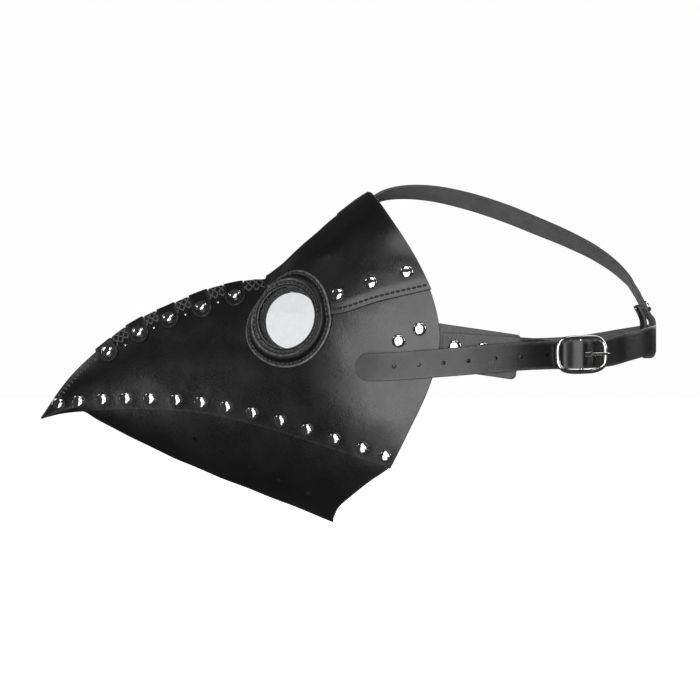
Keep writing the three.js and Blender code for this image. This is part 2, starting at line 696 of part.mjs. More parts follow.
// Points round the buckle's wire, a rectangle with very round corners.
function buckleOutline(halfLength, halfHeight, sides) {
  const power = (value) => Math.sign(value) * Math.abs(value) ** 0.6;
  const outline = [];
  for (let i = 0; i < sides; i += 1) {
    const turn = (2 * Math.PI * i) / sides;
    outline.push(v(halfLength * power(Math.cos(turn)), halfHeight * power(Math.sin(turn)), 0));
  }
  return outline;
}

// Ring of round wire along a closed outline.
function wireRing(outline, around = 6) {
  const sides = outline.length;
  const positions = [];
  const indices = [];
  outline.forEach((point, i) => {
    const next = (i + 1) % sides;
    const along = outline[next].clone().sub(outline[(i + sides - 1) % sides]).normalize();
    const outward = v(along.y, -along.x, 0);
    for (let k = 0; k < around; k += 1) {
      const turn = (2 * Math.PI * k) / around;
      const wire = point.clone().addScaledVector(outward, BUCKLE_WIRE * Math.cos(turn));
      positions.push(wire.x, wire.y, wire.z + BUCKLE_WIRE * Math.sin(turn));
      const a = i * around + k;
      const b = i * around + ((k + 1) % around);
      const c = next * around + k;
      const d = next * around + ((k + 1) % around);
      indices.push(a, c, d, a, d, b);
    }
  });
  return geometryFrom(positions, indices);
}

function addBuckleFrame() {
  const halfHeight = BUCKLE_HEIGHT / 2 - BUCKLE_WIRE;
  const ring = wireRing(buckleOutline(BUCKLE_LENGTH / 2 - BUCKLE_WIRE, halfHeight, 32));
  const bar = new THREE.CylinderGeometry(CENTRE_BAR_RADIUS, CENTRE_BAR_RADIUS, 2 * halfHeight, 10);
  bar.translate(0, 0, CENTRE_BAR_OUT);
  add('buckle_frame', join([ring, bar]).applyMatrix4(BUCKLE_FRAME), 'metal');
}

// Tongue: an eye round the centre bar and a pin that ends on the frame's rear end.
function addBuckleTongue() {
  const inside = CENTRE_BAR_RADIUS + GAP;
  const outside = TONGUE_LOOP_RADIUS;
  const section = [[inside, -1], [outside, -1], [outside, 1], [inside, 1], [inside, -1]];
  const loop = lathe(section, 12).translate(0, 0, CENTRE_BAR_OUT);
  const tip = v(BUCKLE_LENGTH / 2 - 0.4, 0, BUCKLE_WIRE + GAP + TONGUE_RADIUS);
  const root = v(1.6, 0, CENTRE_BAR_OUT + 1.1);
  const middle = root.clone().add(tip).multiplyScalar(0.5);
  const direction = tip.clone().sub(root).normalize();
  const shank = drill(middle, direction, TONGUE_RADIUS, tip.distanceTo(root) / 2);
  add('buckle_tongue', join([loop, shank]).applyMatrix4(BUCKLE_FRAME), 'metal');
}

// Crown strap: from under the forehead panel over the head; it leans to one side on the way.
function addCrownStrap() {
  const path = CROWN_ROUTE.map(([y, z]) => v(0, y, z));
  const lean = (place) => {
    const share = (place - CROWN_LEAN_START) / (CROWN_LEAN_END - CROWN_LEAN_START);
    const rise = Math.sin(Math.PI * THREE.MathUtils.clamp(share, 0, 1)) ** 0.5;
    return THREE.MathUtils.degToRad(CROWN_LEAN) * rise;
  };
  const acrossAt = (point, place) => v(Math.cos(lean(place)), 0, Math.sin(lean(place)));
  const stations = strapStations(path, 32, STRAP_WIDTH, acrossAt);
  add('crown_strap', ribbon(stations, STRAP_THICKNESS), 'strap');
}

// The crown strap's end goes round the rear strap and is riveted to itself.
function addCrownLoop() {
  const front = BACK_Y - LOOP_HALF_DEPTH;
  const rear = BACK_Y + LOOP_HALF_DEPTH;
  const top = LOOP_MIDDLE_Z + LOOP_HALF_HEIGHT + 1;
  const bottom = LOOP_MIDDLE_Z - LOOP_HALF_HEIGHT;
  const bend = [];
  for (let i = 1; i <= 5; i += 1) {
    const turn = (Math.PI * i) / 6;
    const below = 0.9 * LOOP_HALF_DEPTH * Math.sin(turn);
    bend.push([BACK_Y + LOOP_HALF_DEPTH * Math.cos(turn), bottom - below]);
  }
  const route = [...LOOP_OUTER_END, [rear, top], [rear, LOOP_MIDDLE_Z], [rear, bottom], ...bend,
    [front, bottom], [front, LOOP_MIDDLE_Z], [front, top], ...LOOP_INNER_END];
  const points = route.map(([y, z]) => v(0, y, z));
  const path = strapStations(points, 44, LOOP_WIDTH, () => v(1, 0, 0));
  const pin = v(0, ...LOOP_PIN);
  const direction = v(0, ...LOOP_PIN_DIRECTION).normalize();
  const hole = drill(pin, direction, RIVET_HOLE_RADIUS, 7);
  add('crown_loop', cut(ribbon(path, STRAP_THICKNESS), [hole]), 'strap');
  addRivet('loop_rivet', pin, direction, [-LOOP_PIN_REACH, LOOP_PIN_REACH]);
}

addSidePanels();
addForehead();
addChin();
addPatch();
addBands();
addEyes();
addAnchorTabs();
addRearStrap();
addBuckleStrap();
addBuckleFrame();
addBuckleTongue();
addCrownStrap();
addCrownLoop();
addShellRivets('ridge_rivet', BAND_RIVETS, [SIDE_LAYER[0], OVER_LAYER[1]]);
addShellRivets('brow_rivet', BROW_RIVETS, [SIDE_LAYER[0], OVER_LAYER[1]]);
addShellRivets('tab_rivet', TAB_RIVETS, [UNDER_LAYER[0] - GAP, SIDE_LAYER[1]]);
addStrapRivets();

export default model;
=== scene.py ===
"""Looks of a riveted leather plague doctor mask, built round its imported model. Lengths are in
millimetres until a mesh is made; the beak points to -Y and the wearer's left is +X."""
import math
from collections import namedtuple

import bpy
import numpy as np
from mathutils import Matrix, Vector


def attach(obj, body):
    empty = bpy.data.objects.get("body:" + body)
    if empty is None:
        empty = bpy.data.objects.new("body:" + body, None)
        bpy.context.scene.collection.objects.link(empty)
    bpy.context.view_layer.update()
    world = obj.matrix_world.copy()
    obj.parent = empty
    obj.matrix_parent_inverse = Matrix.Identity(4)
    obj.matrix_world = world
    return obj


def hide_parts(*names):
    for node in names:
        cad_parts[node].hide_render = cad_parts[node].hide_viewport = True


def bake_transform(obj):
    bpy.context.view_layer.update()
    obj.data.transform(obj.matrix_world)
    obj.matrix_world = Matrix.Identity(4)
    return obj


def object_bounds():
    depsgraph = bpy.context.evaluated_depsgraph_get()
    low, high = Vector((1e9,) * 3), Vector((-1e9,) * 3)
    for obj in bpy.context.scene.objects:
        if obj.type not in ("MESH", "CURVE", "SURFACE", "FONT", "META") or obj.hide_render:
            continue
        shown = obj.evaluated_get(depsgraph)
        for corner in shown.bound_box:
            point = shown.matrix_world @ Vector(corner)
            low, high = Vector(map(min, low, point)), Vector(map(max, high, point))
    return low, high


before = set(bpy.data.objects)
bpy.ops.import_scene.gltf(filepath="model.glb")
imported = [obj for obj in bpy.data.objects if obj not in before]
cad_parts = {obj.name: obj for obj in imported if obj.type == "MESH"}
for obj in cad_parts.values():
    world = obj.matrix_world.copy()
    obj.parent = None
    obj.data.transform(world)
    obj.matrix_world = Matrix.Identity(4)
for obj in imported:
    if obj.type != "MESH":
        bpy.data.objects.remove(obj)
CAD_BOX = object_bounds()

MM = 0.001
FLIP = np.array([-1.0, 1.0, 1.0])
SIDES = (("left", 1), ("right", -1))
UP = np.array([0.0, 0.0, 1.0])

# ---- dimensions

# Shell stations along Y: [y, value]
RIDGE_Z = [[-239, -47.5], [-226, -28.5], [-208, -9], [-184, 10.5], [-150, 27], [-110, 41],
           [-91, 44.5], [-80, 49.8], [-66, 62], [-43, 82], [-22, 98.4], [5, 111.5], [40, 120]]
BELLY_Z = [[-239, -49.6], [-226, -46.3], [-211, -46.2], [-203, -51], [-45, -121.4], [0, -141],
           [40, -159]]
WIDEST_Z = [[-239, -48.6], [-211, -38], [-150, -20], [-75, -2], [0, 2], [40, 2]]
HALF_WIDTH = [[-239, 2.2], [-211, 8.5], [-180, 16], [-145, 25], [-110, 37], [-75, 52],
              [-45, 64], [-10, 72.5], [20, 75], [40, 75.5]]
ROOF_START_Y = -60
ROOF_END_Y = -100

# Edges of the panels in side view
TIP_Y = -239
SEAM_Z = [[-239, -49.3], [-226, -46], [-211, -44.3], [-151, -43.1], [-129, -44.8],
          [-85, -54], [-46, -66], [-8, -78.2], [30, -90]]
BROW_Z = [[-91, 41.5], [-84, 33], [-70, 23], [-42, 19], [-17, 26.3], [17, 34], [30, 37]]
BROW_OVERLAP = 21
SEAM_OVERLAP = 13
FOREHEAD_FRONT_Y = -89
CHIN_FRONT_Y = -213
SIDE_BACK_Y = [[-82, -10], [-55.6, 2.4], [-29.5, 14.4], [-10, 20.6], [4, 22.4], [15, 21.2],
               [33.5, 16.4], [56, 6.5]]
FOREHEAD_BACK_Y = [[33, 17.5], [50, 9.5], [83.5, -9.9], [104, -22]]
CHIN_BACK_Y = [[-118, -46], [-106, -40.8], [-96.6, -31.2], [-87.7, -21.1], [-79, -10], [-62, -4]]
PATCH_FRONT_Y = -40
PATCH_END = 0.88
RIDGE_GAP = 0.12
VENT_RADIUS = 1.75
VENTS = [[-136, -62.6], [-118, -71.3], [-99, -80.4], [-80.3, -89.2], [-61.2, -97.8]]

# Leather layers, as offsets from the outer face of the side panels
LEATHER = 1.6
EDGE_ROUND = 0.45
SIDE_LAYER = (-1.6, 0.0)
CHIN_LAYER = (-4.2, -2.6)
CHIN_RISE = 0.8
FOREHEAD_LAYER = (1.0, 2.6)
FOREHEAD_DIP = 0.9
PATCH_LAYER = (2.62, 3.35)
BAND_LAYER = (0.1, 1.7)

# Rivets, in side view
BAND_RIVETS = [[-193.7, -4.5], [-172.9, 8], [-152.8, 17.1], [-130.8, 24.3], [-108.9, 31.9]]
BAND_HALF_WIDTH = 6.6
BROW_RIVETS = [[-40.3, 30.8], [-19.8, 38], [2, 44.3]]
TAB_RIVETS = [[-3.3, 2.3], [9.6, 9.6]]
STRAP_RIVETS = [[31.3, -1.2], [48.9, -2.7]]
SEAM_RIVET_Y = [-227, -213, -196.7, -180.7, -164.3, -146.8, -130.1, -113.3, -96.2, -78.1, -60.9,
                -43.2, -25.6, -11.1]
SEAM_RIVET_RISE = 7.3
CAP_RADIUS = 4.2
CAP_HEIGHT = 2.6

# Eyes
EYE = [-73, 17]
EYE_YAW = 24
EYE_PITCH = 8
EYE_HOLE_RADIUS = 25.5
LENS_RADIUS = 23
LENS_FACES = (-0.1, 1.1)
LENS_BEVEL = 0.3
RETAINER_RADII = (21.2, 23.5)
RETAINER_FACES = (-2.2, -1.0)
RETAINER_ROUND = 0.3

# Straps and buckle
STRAP_WIDTH = 17.4
STRAP_THICKNESS = 2
TAB_WIDTH = 28
TAB_X = 70.8
TAB_SLOPE = -0.146
TAB_RISE = 2.3
TAB_Y = [-14, -8, 0, 8, 16, 24, 40, 56, 71]
TAB_LEAVES_Y = 16
TAB_LAYER = -3.7
BUCKLE_STRAP_THICKNESS = 1.4
BUCKLE_CENTRE = np.array([67, 110.8, -6.1])
BUCKLE_LENGTH = 35
BUCKLE_HEIGHT = 24.2
BUCKLE_WIRE = 1.35
WIRE_SIDES = 16
CENTRE_BAR_RADIUS = 1.2
CENTRE_BAR_OUT = -1
TONGUE_RADIUS = 0.85
TONGUE_CURL_RADIUS = 1.95
TONGUE_SIDES = 14
HOLE_RADIUS = 1.3
STRAP_HOLE_Y = [-6.4, 8.6, 23.8, 39.1, 55.8, 71.6, 88.6]
BACK_Y = 165
LAYER_GAP = 0.4
CROWN_LEAN = 33
CROWN_LEAN_START = 0.12
CROWN_LEAN_END = 0.96

# ---- curves


def unit(vector):
    vector = np.asarray(vector, float)
    return vector / np.linalg.norm(vector, axis=-1, keepdims=True)


def smoothstep(value, low, high):
    share = np.clip((np.asarray(value, float) - low) / (high - low), 0, 1)
    return share * share * (3 - 2 * share)


def full_turn(count):
    return np.linspace(0, 2 * np.pi, count, endpoint=False)


def circles(first, second, turns):
    """Rings of points round the origin, in the planes of pairs of directions."""
    return (np.cos(turns)[None, :, None] * first[:, None]
            + np.sin(turns)[None, :, None] * second[:, None])


def running_length(*coordinates):
    """Distance along a line from its start to each of its points."""
    steps = np.linalg.norm(np.diff(coordinates, axis=-1), axis=0)
    return np.concatenate([[0], np.cumsum(steps)])


def smooth_curve(stations):
    """Curve through stations [t, value] whose slope never overshoots a station."""
    t, value = np.array(stations, float).T
    step = np.diff(t)
    slope = np.diff(value) / step
    middle = (slope[:-1] * step[1:] + slope[1:] * step[:-1]) / (step[:-1] + step[1:])
    tangent = np.concatenate([slope[:1], middle, slope[-1:]])

    def at(x):
        x = np.clip(x, t[0], t[-1])
        i = np.clip(np.searchsorted(t, x) - 1, 0, len(step) - 1)
        s = (x - t[i]) / step[i]
        lean = s * (1 - s) * ((1 - s) * tangent[i] - s * tangent[i + 1]) * step[i]
        return value[i] + s * s * (3 - 2 * s) * (value[i + 1] - value[i]) + lean

    return at


ridge_z = smooth_curve(RIDGE_Z)
belly_z = smooth_curve(BELLY_Z)
widest_z = smooth_curve(WIDEST_Z)
half_width = smooth_curve(HALF_WIDTH)
seam_z = smooth_curve(SEAM_Z)
brow_z = smooth_curve(BROW_Z)
side_back_y = smooth_curve(SIDE_BACK_Y)
forehead_back_y = smooth_curve(FOREHEAD_BACK_Y)
chin_back_y = smooth_curve(CHIN_BACK_Y)


def shell_point(y, a):
    """Point of the left half of the shell; a runs from -1 at the belly to 1 at the ridge."""
    y, a = np.broadcast_arrays(np.asarray(y, float), np.asarray(a, float))
    u = np.clip(np.sin(np.pi / 2 * np.abs(a)), 0, 1)
    end = np.where(a > 0, ridge_z(y), belly_z(y))
    rounded = smoothstep(y, ROOF_END_Y, ROOF_START_Y)
    upper = (1 - u ** (1.8 + 0.6 * rounded)) ** (1 / (1 + rounded))
    lower = (1 - u ** 2.2) ** (1 / 1.8)
    x = half_width(y) * np.where(a > 0, upper, lower)
    return np.stack([x, y, widest_z(y) + u * (end - widest_z(y))], -1)


def angle_at(y, z):
    above = z > widest_z(y)
    end = np.where(above, ridge_z(y), belly_z(y))
    u = np.clip((z - widest_z(y)) / (end - widest_z(y)), 0, 1)
    return np.where(above, 1, -1) * np.arcsin(u) * (2 / np.pi)


def surface(y, z):
    return shell_point(y, angle_at(y, z))


def surface_normal(y, z):
    step = 0.5
    along_y = surface(y + step, z) - surface(y - step, z)
    along_z = surface(y, z + step) - surface(y, z - step)
    return unit(np.cross(along_y, along_z))


SPLINE_STEPS = 60


def spline(points):
    """Smooth line through the given points, as a function of the share of its length."""
    points = np.array(points, float)
    ends = [2 * points[0] - points[1], 2 * points[-1] - points[-2]]
    p = np.vstack([ends[0], points, ends[1]])
    fine = []
    for a, b, c, d in zip(p, p[1:], p[2:], p[3:]):
        before, here, after = (np.linalg.norm(q - r) ** 0.5 for q, r in ((b, a), (c, b), (d, c)))
        start = ((b - a) / before - (c - a) / (before + here) + (c - b) / here) * here
        stop = ((c - b) / here - (d - b) / (here + after) + (d - c) / after) * here
        s = np.linspace(0, 1, SPLINE_STEPS, endpoint=False)[:, None]
        fine.append((2 * s**3 - 3 * s**2 + 1) * b + (s**3 - 2 * s**2 + s) * start
                    + (3 * s**2 - 2 * s**3) * c + (s**3 - s**2) * stop)
    fine = np.vstack([*fine, points[-1:]])
    length = running_length(*fine.T)

    def at(places):
        wanted = np.asarray(places, float) * length[-1]
        return np.stack([np.interp(wanted, length, fine[:, k]) for k in range(3)], -1)

    return at, length[-1]


# ---- relief of the leather

# Slow waves: (height, direction, phase)
WAVES = [(0.35, (0.06, 0.045, 0.05), 0.4), (0.22, (-0.09, 0.08, 0.11), 1.9),
         (0.10, (0.17, -0.13, 0.19), 3.1), (0.07, (-0.21, 0.24, 0.16), 0.7)]
WAVES_FADE = 40

SEAM_RIVETS = [[y, float(seam_z(y)) + SEAM_RIVET_RISE] for y in SEAM_RIVET_Y]
DIMPLED = np.array([*BAND_RIVETS, *BROW_RIVETS, *TAB_RIVETS, *SEAM_RIVETS])
DIMPLES = surface(DIMPLED[:, 0], DIMPLED[:, 1])
DIMPLES = np.concatenate([DIMPLES, DIMPLES * FLIP])
DIMPLE_DEPTH = 0.22
DIMPLE_RADIUS = 8.5


def relief(points):
    """Unevenness shared by all layers of the shell: slow waves, and dimples round the rivets."""
    height = np.zeros(points.shape[:-1])
    for size, direction, phase in WAVES:
        height += size * np.sin(points @ np.array(direction) + phase)
    for centre in DIMPLES:
        distance = np.linalg.norm(points - centre, axis=-1)
        height -= DIMPLE_DEPTH * smoothstep(1 - distance / DIMPLE_RADIUS, 0, 1)
    return height * smoothstep(points[..., 1], TIP_Y, TIP_Y + WAVES_FADE)


def band_foot(place):
    """Foot on the ridge of the square line through a band's rivet, and the line's direction."""
    rivet_y, rivet_z = place
    foot_y = rivet_y
    for _ in range(30):
        slope = (ridge_z(foot_y + 2) - ridge_z(foot_y - 2)) / 4
        foot_y += 0.3 * (rivet_y - foot_y + (rivet_z - ridge_z(foot_y)) * slope)
    foot = np.array([foot_y, float(ridge_z(foot_y))])
    return foot, np.array(place) - foot


BAND_FEET = [band_foot(place) for place in BAND_RIVETS]
SEAM_BULGE = 1.6
SEAM_BULGE_DEPTH = 5.5
LACED_FROM = (-203, -197)
LACED_TO = (-97, -90)


def seam_bulge(points):
    """The laced seam swells between the ridge bands, and the bands press it flat."""
    y, z = points[..., 1], points[..., 2]
    depth = np.abs(ridge_z(y) - z)
    free = smoothstep(y, *LACED_FROM) * (1 - smoothstep(y, *LACED_TO))
    for foot, drop in BAND_FEET:
        down = unit(drop)
        offset = np.abs((y - foot[0]) * -down[1] + (z - foot[1]) * down[0])
        free = free * smoothstep(offset, BAND_HALF_WIDTH - 0.5, BAND_HALF_WIDTH + 1.2)
    return SEAM_BULGE * free * np.exp(-((depth / SEAM_BULGE_DEPTH) ** 2))


def forehead_lift(y, z):
    """The forehead panel's edges lie down on the side panels."""
    edge = np.minimum(smoothstep(z - brow_z(y), 0, 8), smoothstep(y, FOREHEAD_FRONT_Y, -80))
    return FOREHEAD_DIP * (edge - 1)


def chin_lift(y, z):
    """The chin panel is pressed against the side panels along the seam."""
    return CHIN_RISE * (1 - smoothstep(seam_z(y) - z, 2, 26))


# ---- mesh making

Shape = namedtuple("Shape", "points faces finish wear")
GRAIN, EDGE, FLESH, HOLE = 0, 1, 2, 3


def quads(a, b, c, d):
    return np.stack([np.ravel(k) for k in (a, b, c, d)], -1)


def refined(count, length, round_off=EDGE_ROUND):
    """Even shares from 0 to 1, with closer ones where the cut edges are rounded."""
    near = np.array([0, 0.1, 0.35, 0.7, 1.1, 2.0]) * round_off / length
    return np.concatenate([near[:-1], np.linspace(near[-1], 1 - near[-1], count), 1 - near[-2::-1]])


def grid_normals(grid):
    return unit(np.cross(np.gradient(grid, axis=1), np.gradient(grid, axis=0)))


def border_distance(grid):
    nearest = None
    for axis in (0, 1):
        steps = np.linalg.norm(np.diff(grid, axis=axis), axis=-1)
        start = np.zeros_like(np.take(steps, [0], axis=axis))
        length = np.concatenate([start, np.cumsum(steps, axis=axis)], axis=axis)
        both = np.minimum(length, np.take(length, [-1], axis=axis) - length)
        nearest = both if nearest is None else np.minimum(nearest, both)
    return nearest


def sheet(grid, layer, lift=0.0, keep=None):
    """Closed leather sheet between two offsets of a grid, with rounded cut edges."""
    inner, outer = layer
    normals = grid_normals(grid)
    distance = border_distance(grid)
    short = np.maximum(EDGE_ROUND - distance, 0)
    fall = EDGE_ROUND - np.sqrt(EDGE_ROUND**2 - short**2)
    skins = []
    for offset in (outer + lift - fall, inner + lift + fall):
        skin = grid + normals * np.broadcast_to(offset, distance.shape)[..., None]
        skins.append(skin if keep is None else keep(skin))
    n, m = distance.shape
    at = np.arange(2 * n * m).reshape(2, n, m)
    top, low = at
    faces = [quads(top[:-1, :-1], top[:-1, 1:], top[1:, 1:], top[1:, :-1]),
             quads(low[:-1, :-1], low[1:, :-1], low[1:, 1:], low[:-1, 1:]),
             quads(top[:-1, 0], top[1:, 0], low[1:, 0], low[:-1, 0]),
             quads(top[:-1, -1], low[:-1, -1], low[1:, -1], top[1:, -1]),
             quads(top[0, :-1], low[0, :-1], low[0, 1:], top[0, 1:]),
             quads(top[-1, :-1], top[-1, 1:], low[-1, 1:], low[-1, :-1])]
    near_edge = distance < EDGE_ROUND * 0.75
    cell = near_edge[:-1, :-1] & near_edge[1:, 1:]
    cell = (cell | (near_edge[:-1, 1:] & near_edge[1:, :-1])).ravel()
    finish = [np.where(cell, EDGE, GRAIN), np.where(cell, EDGE, FLESH)]
    finish += [np.full(len(f), EDGE) for f in faces[2:]]
    wear = np.exp(-distance / 0.9).ravel()
    points = np.concatenate([skin.reshape(-1, 3) for skin in skins])
    return Shape(points, np.concatenate(faces), np.concatenate(finish), np.tile(wear, 2))


def sweep(sections, finish, wear, closed=False):
    """Tube through rings of points; finish and the share of paler edge colour are given round one ring.
    On the eye rings that paler colour paints highlight lines.
    """
    n, m = sections.shape[:2]
    at = np.arange(n * m).reshape(n, m)
    follow = np.roll(at, -1, axis=0) if closed else at[1:]
    here = at if closed else at[:-1]
    next_here, next_follow = (np.roll(k, -1, axis=1) for k in (here, follow))
    faces = quads(here, next_here, next_follow, follow).tolist()
    marks = np.tile(finish, len(here)).tolist()
    if not closed:
        faces += [at[0][::-1].tolist(), at[-1].tolist()]
        marks += [EDGE, EDGE] if max(finish) > GRAIN else [GRAIN, GRAIN]
    return Shape(sections.reshape(-1, 3), faces, marks, np.tile(wear, n))


def plain_sweep(sections, closed=False, finish=GRAIN):
    sides = sections.shape[1]
    return sweep(sections, [finish] * sides, np.zeros(sides), closed)


def revolve(profile, sides, finish=GRAIN):
    """Solid of revolution about Z from a profile [radius, height] that starts and ends on the
    axis, or closes on itself."""
    profile = np.array(profile, float)
    turns = full_turn(sides)
    solid = profile[0, 0] < 1e-6 and profile[-1, 0] < 1e-6
    body = profile[1:-1] if solid else profile
    radius, height = body.T
    rings = np.stack([np.outer(np.cos(turns), radius), np.outer(np.sin(turns), radius),
                      np.tile(height, (sides, 1))], -1)
    n, m = rings.shape[:2]
    at = np.arange(n * m).reshape(n, m)
    nxt = np.roll(at, -1, axis=0)
    points = rings.reshape(-1, 3)
    faces = quads(at[:, :-1], nxt[:, :-1], nxt[:, 1:], at[:, 1:]).tolist()
    if solid:
        faces += [at[::-1, 0].tolist(), at[:, -1].tolist()]
    else:
        faces += quads(at[:, -1], nxt[:, -1], nxt[:, 0], at[:, 0]).tolist()
    return Shape(points, faces, [finish] * len(faces), np.zeros(len(points)))


def cylinder(radius, low, high, sides, finish=GRAIN):
    return revolve([[0, low], [radius, low], [radius, high], [0, high]], sides, finish)


def transformed(points, matrix):
    return points @ matrix[:3, :3].T + matrix[:3, 3]


def moved(shape, matrix):
    return shape._replace(points=transformed(shape.points, matrix))


def mirrored(shape):
    faces = [list(face)[::-1] for face in shape.faces]
    return shape._replace(points=shape.points * FLIP, faces=faces)


def on_side(shape, side):
    """A shape made for the left side, or its mirror image on the right side."""
    return shape if side > 0 else mirrored(shape)


def both_sides(shapes):
    return [*shapes, *(mirrored(shape) for shape in shapes)]


def merged(shapes):
    points, faces, finish, wear, start = [], [], [], [], 0
    for shape in shapes:
        points.append(shape.points)
        faces += [[start + int(k) for k in face] for face in shape.faces]
        finish += list(shape.finish)
        wear.append(shape.wear)
        start += len(shape.points)
    return Shape(np.concatenate(points), faces, finish, np.concatenate(wear))


def frame_matrix(x_axis, y_axis, z_axis, origin):
    matrix = np.eye(4)
    matrix[:3, :3] = np.stack([x_axis, y_axis, z_axis], -1)
    matrix[:3, 3] = origin
    return matrix


def facing(direction, origin):
    """Frame whose Z looks along a direction."""
    z_axis = unit(direction)
    helper = UP if abs(z_axis[2]) < 0.9 else np.array([0.0, 1.0, 0.0])
    x_axis = unit(np.cross(helper, z_axis))
    return frame_matrix(x_axis, np.cross(z_axis, x_axis), z_axis, origin)


def mesh_object(name, shape):
    mesh = bpy.data.meshes.new(name)
    faces = shape.faces.tolist() if isinstance(shape.faces, np.ndarray) else shape.faces
    mesh.from_pydata((shape.points * MM).tolist(), [], faces)
    mesh.polygons.foreach_set("material_index", np.asarray(shape.finish, np.int32))
    # Share of the paler edge colour at each point: edge wear on panels and straps, painted highlight
    # lines on the eye rings.
    wear = mesh.attributes.new("wear", "FLOAT", "POINT")
    wear.data.foreach_set("value", np.asarray(shape.wear, np.float32))
    obj = bpy.data.objects.new(name, mesh)
    bpy.context.scene.collection.objects.link(obj)
    return obj


def carve(obj, cutters):
    """Takes the cutters out of a piece, and leaves a plain mesh."""
    tool = mesh_object("cutter", merged(cutters))
    modifier = obj.modifiers.new("cut", "BOOLEAN")
    modifier.operation = "DIFFERENCE"
    modifier.solver = "MANIFOLD"
    modifier.object = tool
    graph = bpy.context.evaluated_depsgraph_get()
    mesh = bpy.data.meshes.new_from_object(obj.evaluated_get(graph))
    obj.modifiers.clear()
    obj.data = mesh
    bpy.data.objects.remove(tool)


def drill(point, direction, radius, reach, sides=24):
    return moved(cylinder(radius, -reach, reach, sides, HOLE), facing(direction, point))


def add_piece(name, shape, finishes, slot, body="mask", node=None, cutters=(), sharp=38):
    """One piece of the model; edges that turn by more than the angle sharp are shaded sharp."""
    obj = mesh_object(name, shape)
    for finish in finishes:
        obj.data.materials.append(finish)
    if cutters:
        carve(obj, cutters)
    obj.data.shade_smooth()
    obj.data.set_sharp_from_angle(angle=math.radians(sharp))
    if body:
        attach(obj, body)
    if node:
        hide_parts(node)
    return obj


def leather_piece(node, shape, finishes, slot="shell_leather", **settings):
    return add_piece(f"{node}_leather", shape, finishes, slot, node=node, **settings)


# ---- materials


class Finish:
    """A principled material and short ways to add nodes to it."""

    def __init__(self, name, **sockets):
        self.material = bpy.data.materials.new(name)
        self.material.use_nodes = True
        self.nodes = self.material.node_tree.nodes
        self.links = self.material.node_tree.links
        self.shader = self.nodes["Principled BSDF"]
        for socket, value in sockets.items():
            self.shader.inputs[socket.replace("_", " ")].default_value = value
        self.place = self.nodes.new("ShaderNodeTexCoord").outputs["Object"]

    def node(self, kind, inputs=(), **settings):
        made = self.nodes.new("ShaderNode" + kind)
        for key, value in settings.items():
            setattr(made, key, value)
        for key, value in dict(inputs).items():
            socket = made.inputs[key]
            if isinstance(value, bpy.types.NodeSocket):
                self.links.new(value, socket)
            else:
                socket.default_value = (*value, 1) if socket.type == "RGBA" else value
        return made

    def noise(self, scale, detail=3.0, rough=0.55, place=None):
        inputs = {"Vector": place or self.place, "Scale": scale, "Detail": detail, "Roughness": rough}
        return self.node("TexNoise", inputs).outputs["Fac"]

    def cells(self, scale):
        inputs = {"Vector": self.place, "Scale": scale}
        return self.node("TexVoronoi", inputs, feature="SMOOTH_F1").outputs["Distance"]

    def spread(self, value, low, high, to_low=0.0, to_high=1.0):
        inputs = {"Value": value, "From Min": low, "From Max": high, "To Min": to_low, "To Max": to_high}
        return self.node("MapRange", inputs).outputs["Result"]

    def sums(self, operation, *values):
        return self.node("Math", enumerate(values), operation=operation).outputs[0]

    def blend(self, share, first, second):
        """Mix of two colours. The node's colour sockets share their names with other sockets,
        so they are found by number."""
        inputs = {"Factor": share, 6: first, 7: second}
        return self.node("Mix", inputs, data_type="RGBA").outputs[2]

    def bumps(self, layers):
        """Chain of bumps: [height, depth in metres]."""
        normal = None
        for height, depth in layers:
            inputs = {"Height": height, "Distance": depth, "Strength": 1.0}
            if normal:
                inputs["Normal"] = normal
            normal = self.node("Bump", inputs).outputs["Normal"]
        self.feed("Normal", normal)

    def feed(self, socket, value):
        self.links.new(value, self.shader.inputs[socket])

    def wear(self):
        return self.node("Attribute", attribute_name="wear").outputs["Fac"]


def leather(name, dark, light, rough, grain_size, grain_depth, crease_depth, wear_and_highlight_colour, shine=0.5):
    """Dyed leather: pebbled grain, faint creases, and a paler colour along its edges: edge wear on
    panels and straps, and painted highlight lines on the eye rings.
    """
    f = Finish(name, Specular_IOR_Level=shine)
    clouds = f.noise(28, 4)
    tone = f.blend(f.spread(clouds, 0.3, 0.7), dark, light)
    scuffs = f.spread(f.noise(420, 5, 0.7), 0.42, 0.68)
    # Paler colour along the marked edges: edge wear on panels and straps, painted highlight lines on the
    # eye rings.
    share = f.sums("MULTIPLY", f.wear(), f.sums("ADD", f.sums("MULTIPLY", scuffs, 0.7), 0.3))
    f.feed("Base Color", f.blend(share, tone, wear_and_highlight_colour))
    patches = f.spread(f.noise(60, 5), 0.3, 0.7, rough - 0.05, rough + 0.07)
    pores = f.cells(1 / grain_size)
    fine = f.spread(pores, 0.0, 0.7, 0.05, -0.05)
    f.feed("Roughness", f.sums("ADD", f.sums("ADD", patches, fine), f.sums("MULTIPLY", share, 0.12)))
    creases = f.noise(0.16 / grain_size, 3, 0.6)
    f.bumps([(f.noise(45, 3), crease_depth * 4), (creases, crease_depth), (pores, grain_depth)])
    return f.material


def cut_edge(name, colour, rough):
    """Cut edge of dyed leather: fibres in thin layers."""
    f = Finish(name, Specular_IOR_Level=0.4)
    fibres = f.noise(900, 4, 0.7)
    paler = tuple(1.8 * k for k in colour)
    f.feed("Base Color", f.blend(f.spread(fibres, 0.35, 0.7), colour, paler))
    f.feed("Roughness", f.spread(fibres, 0.3, 0.7, rough - 0.1, rough + 0.1))
    f.bumps([(fibres, 0.00012)])
    return f.material


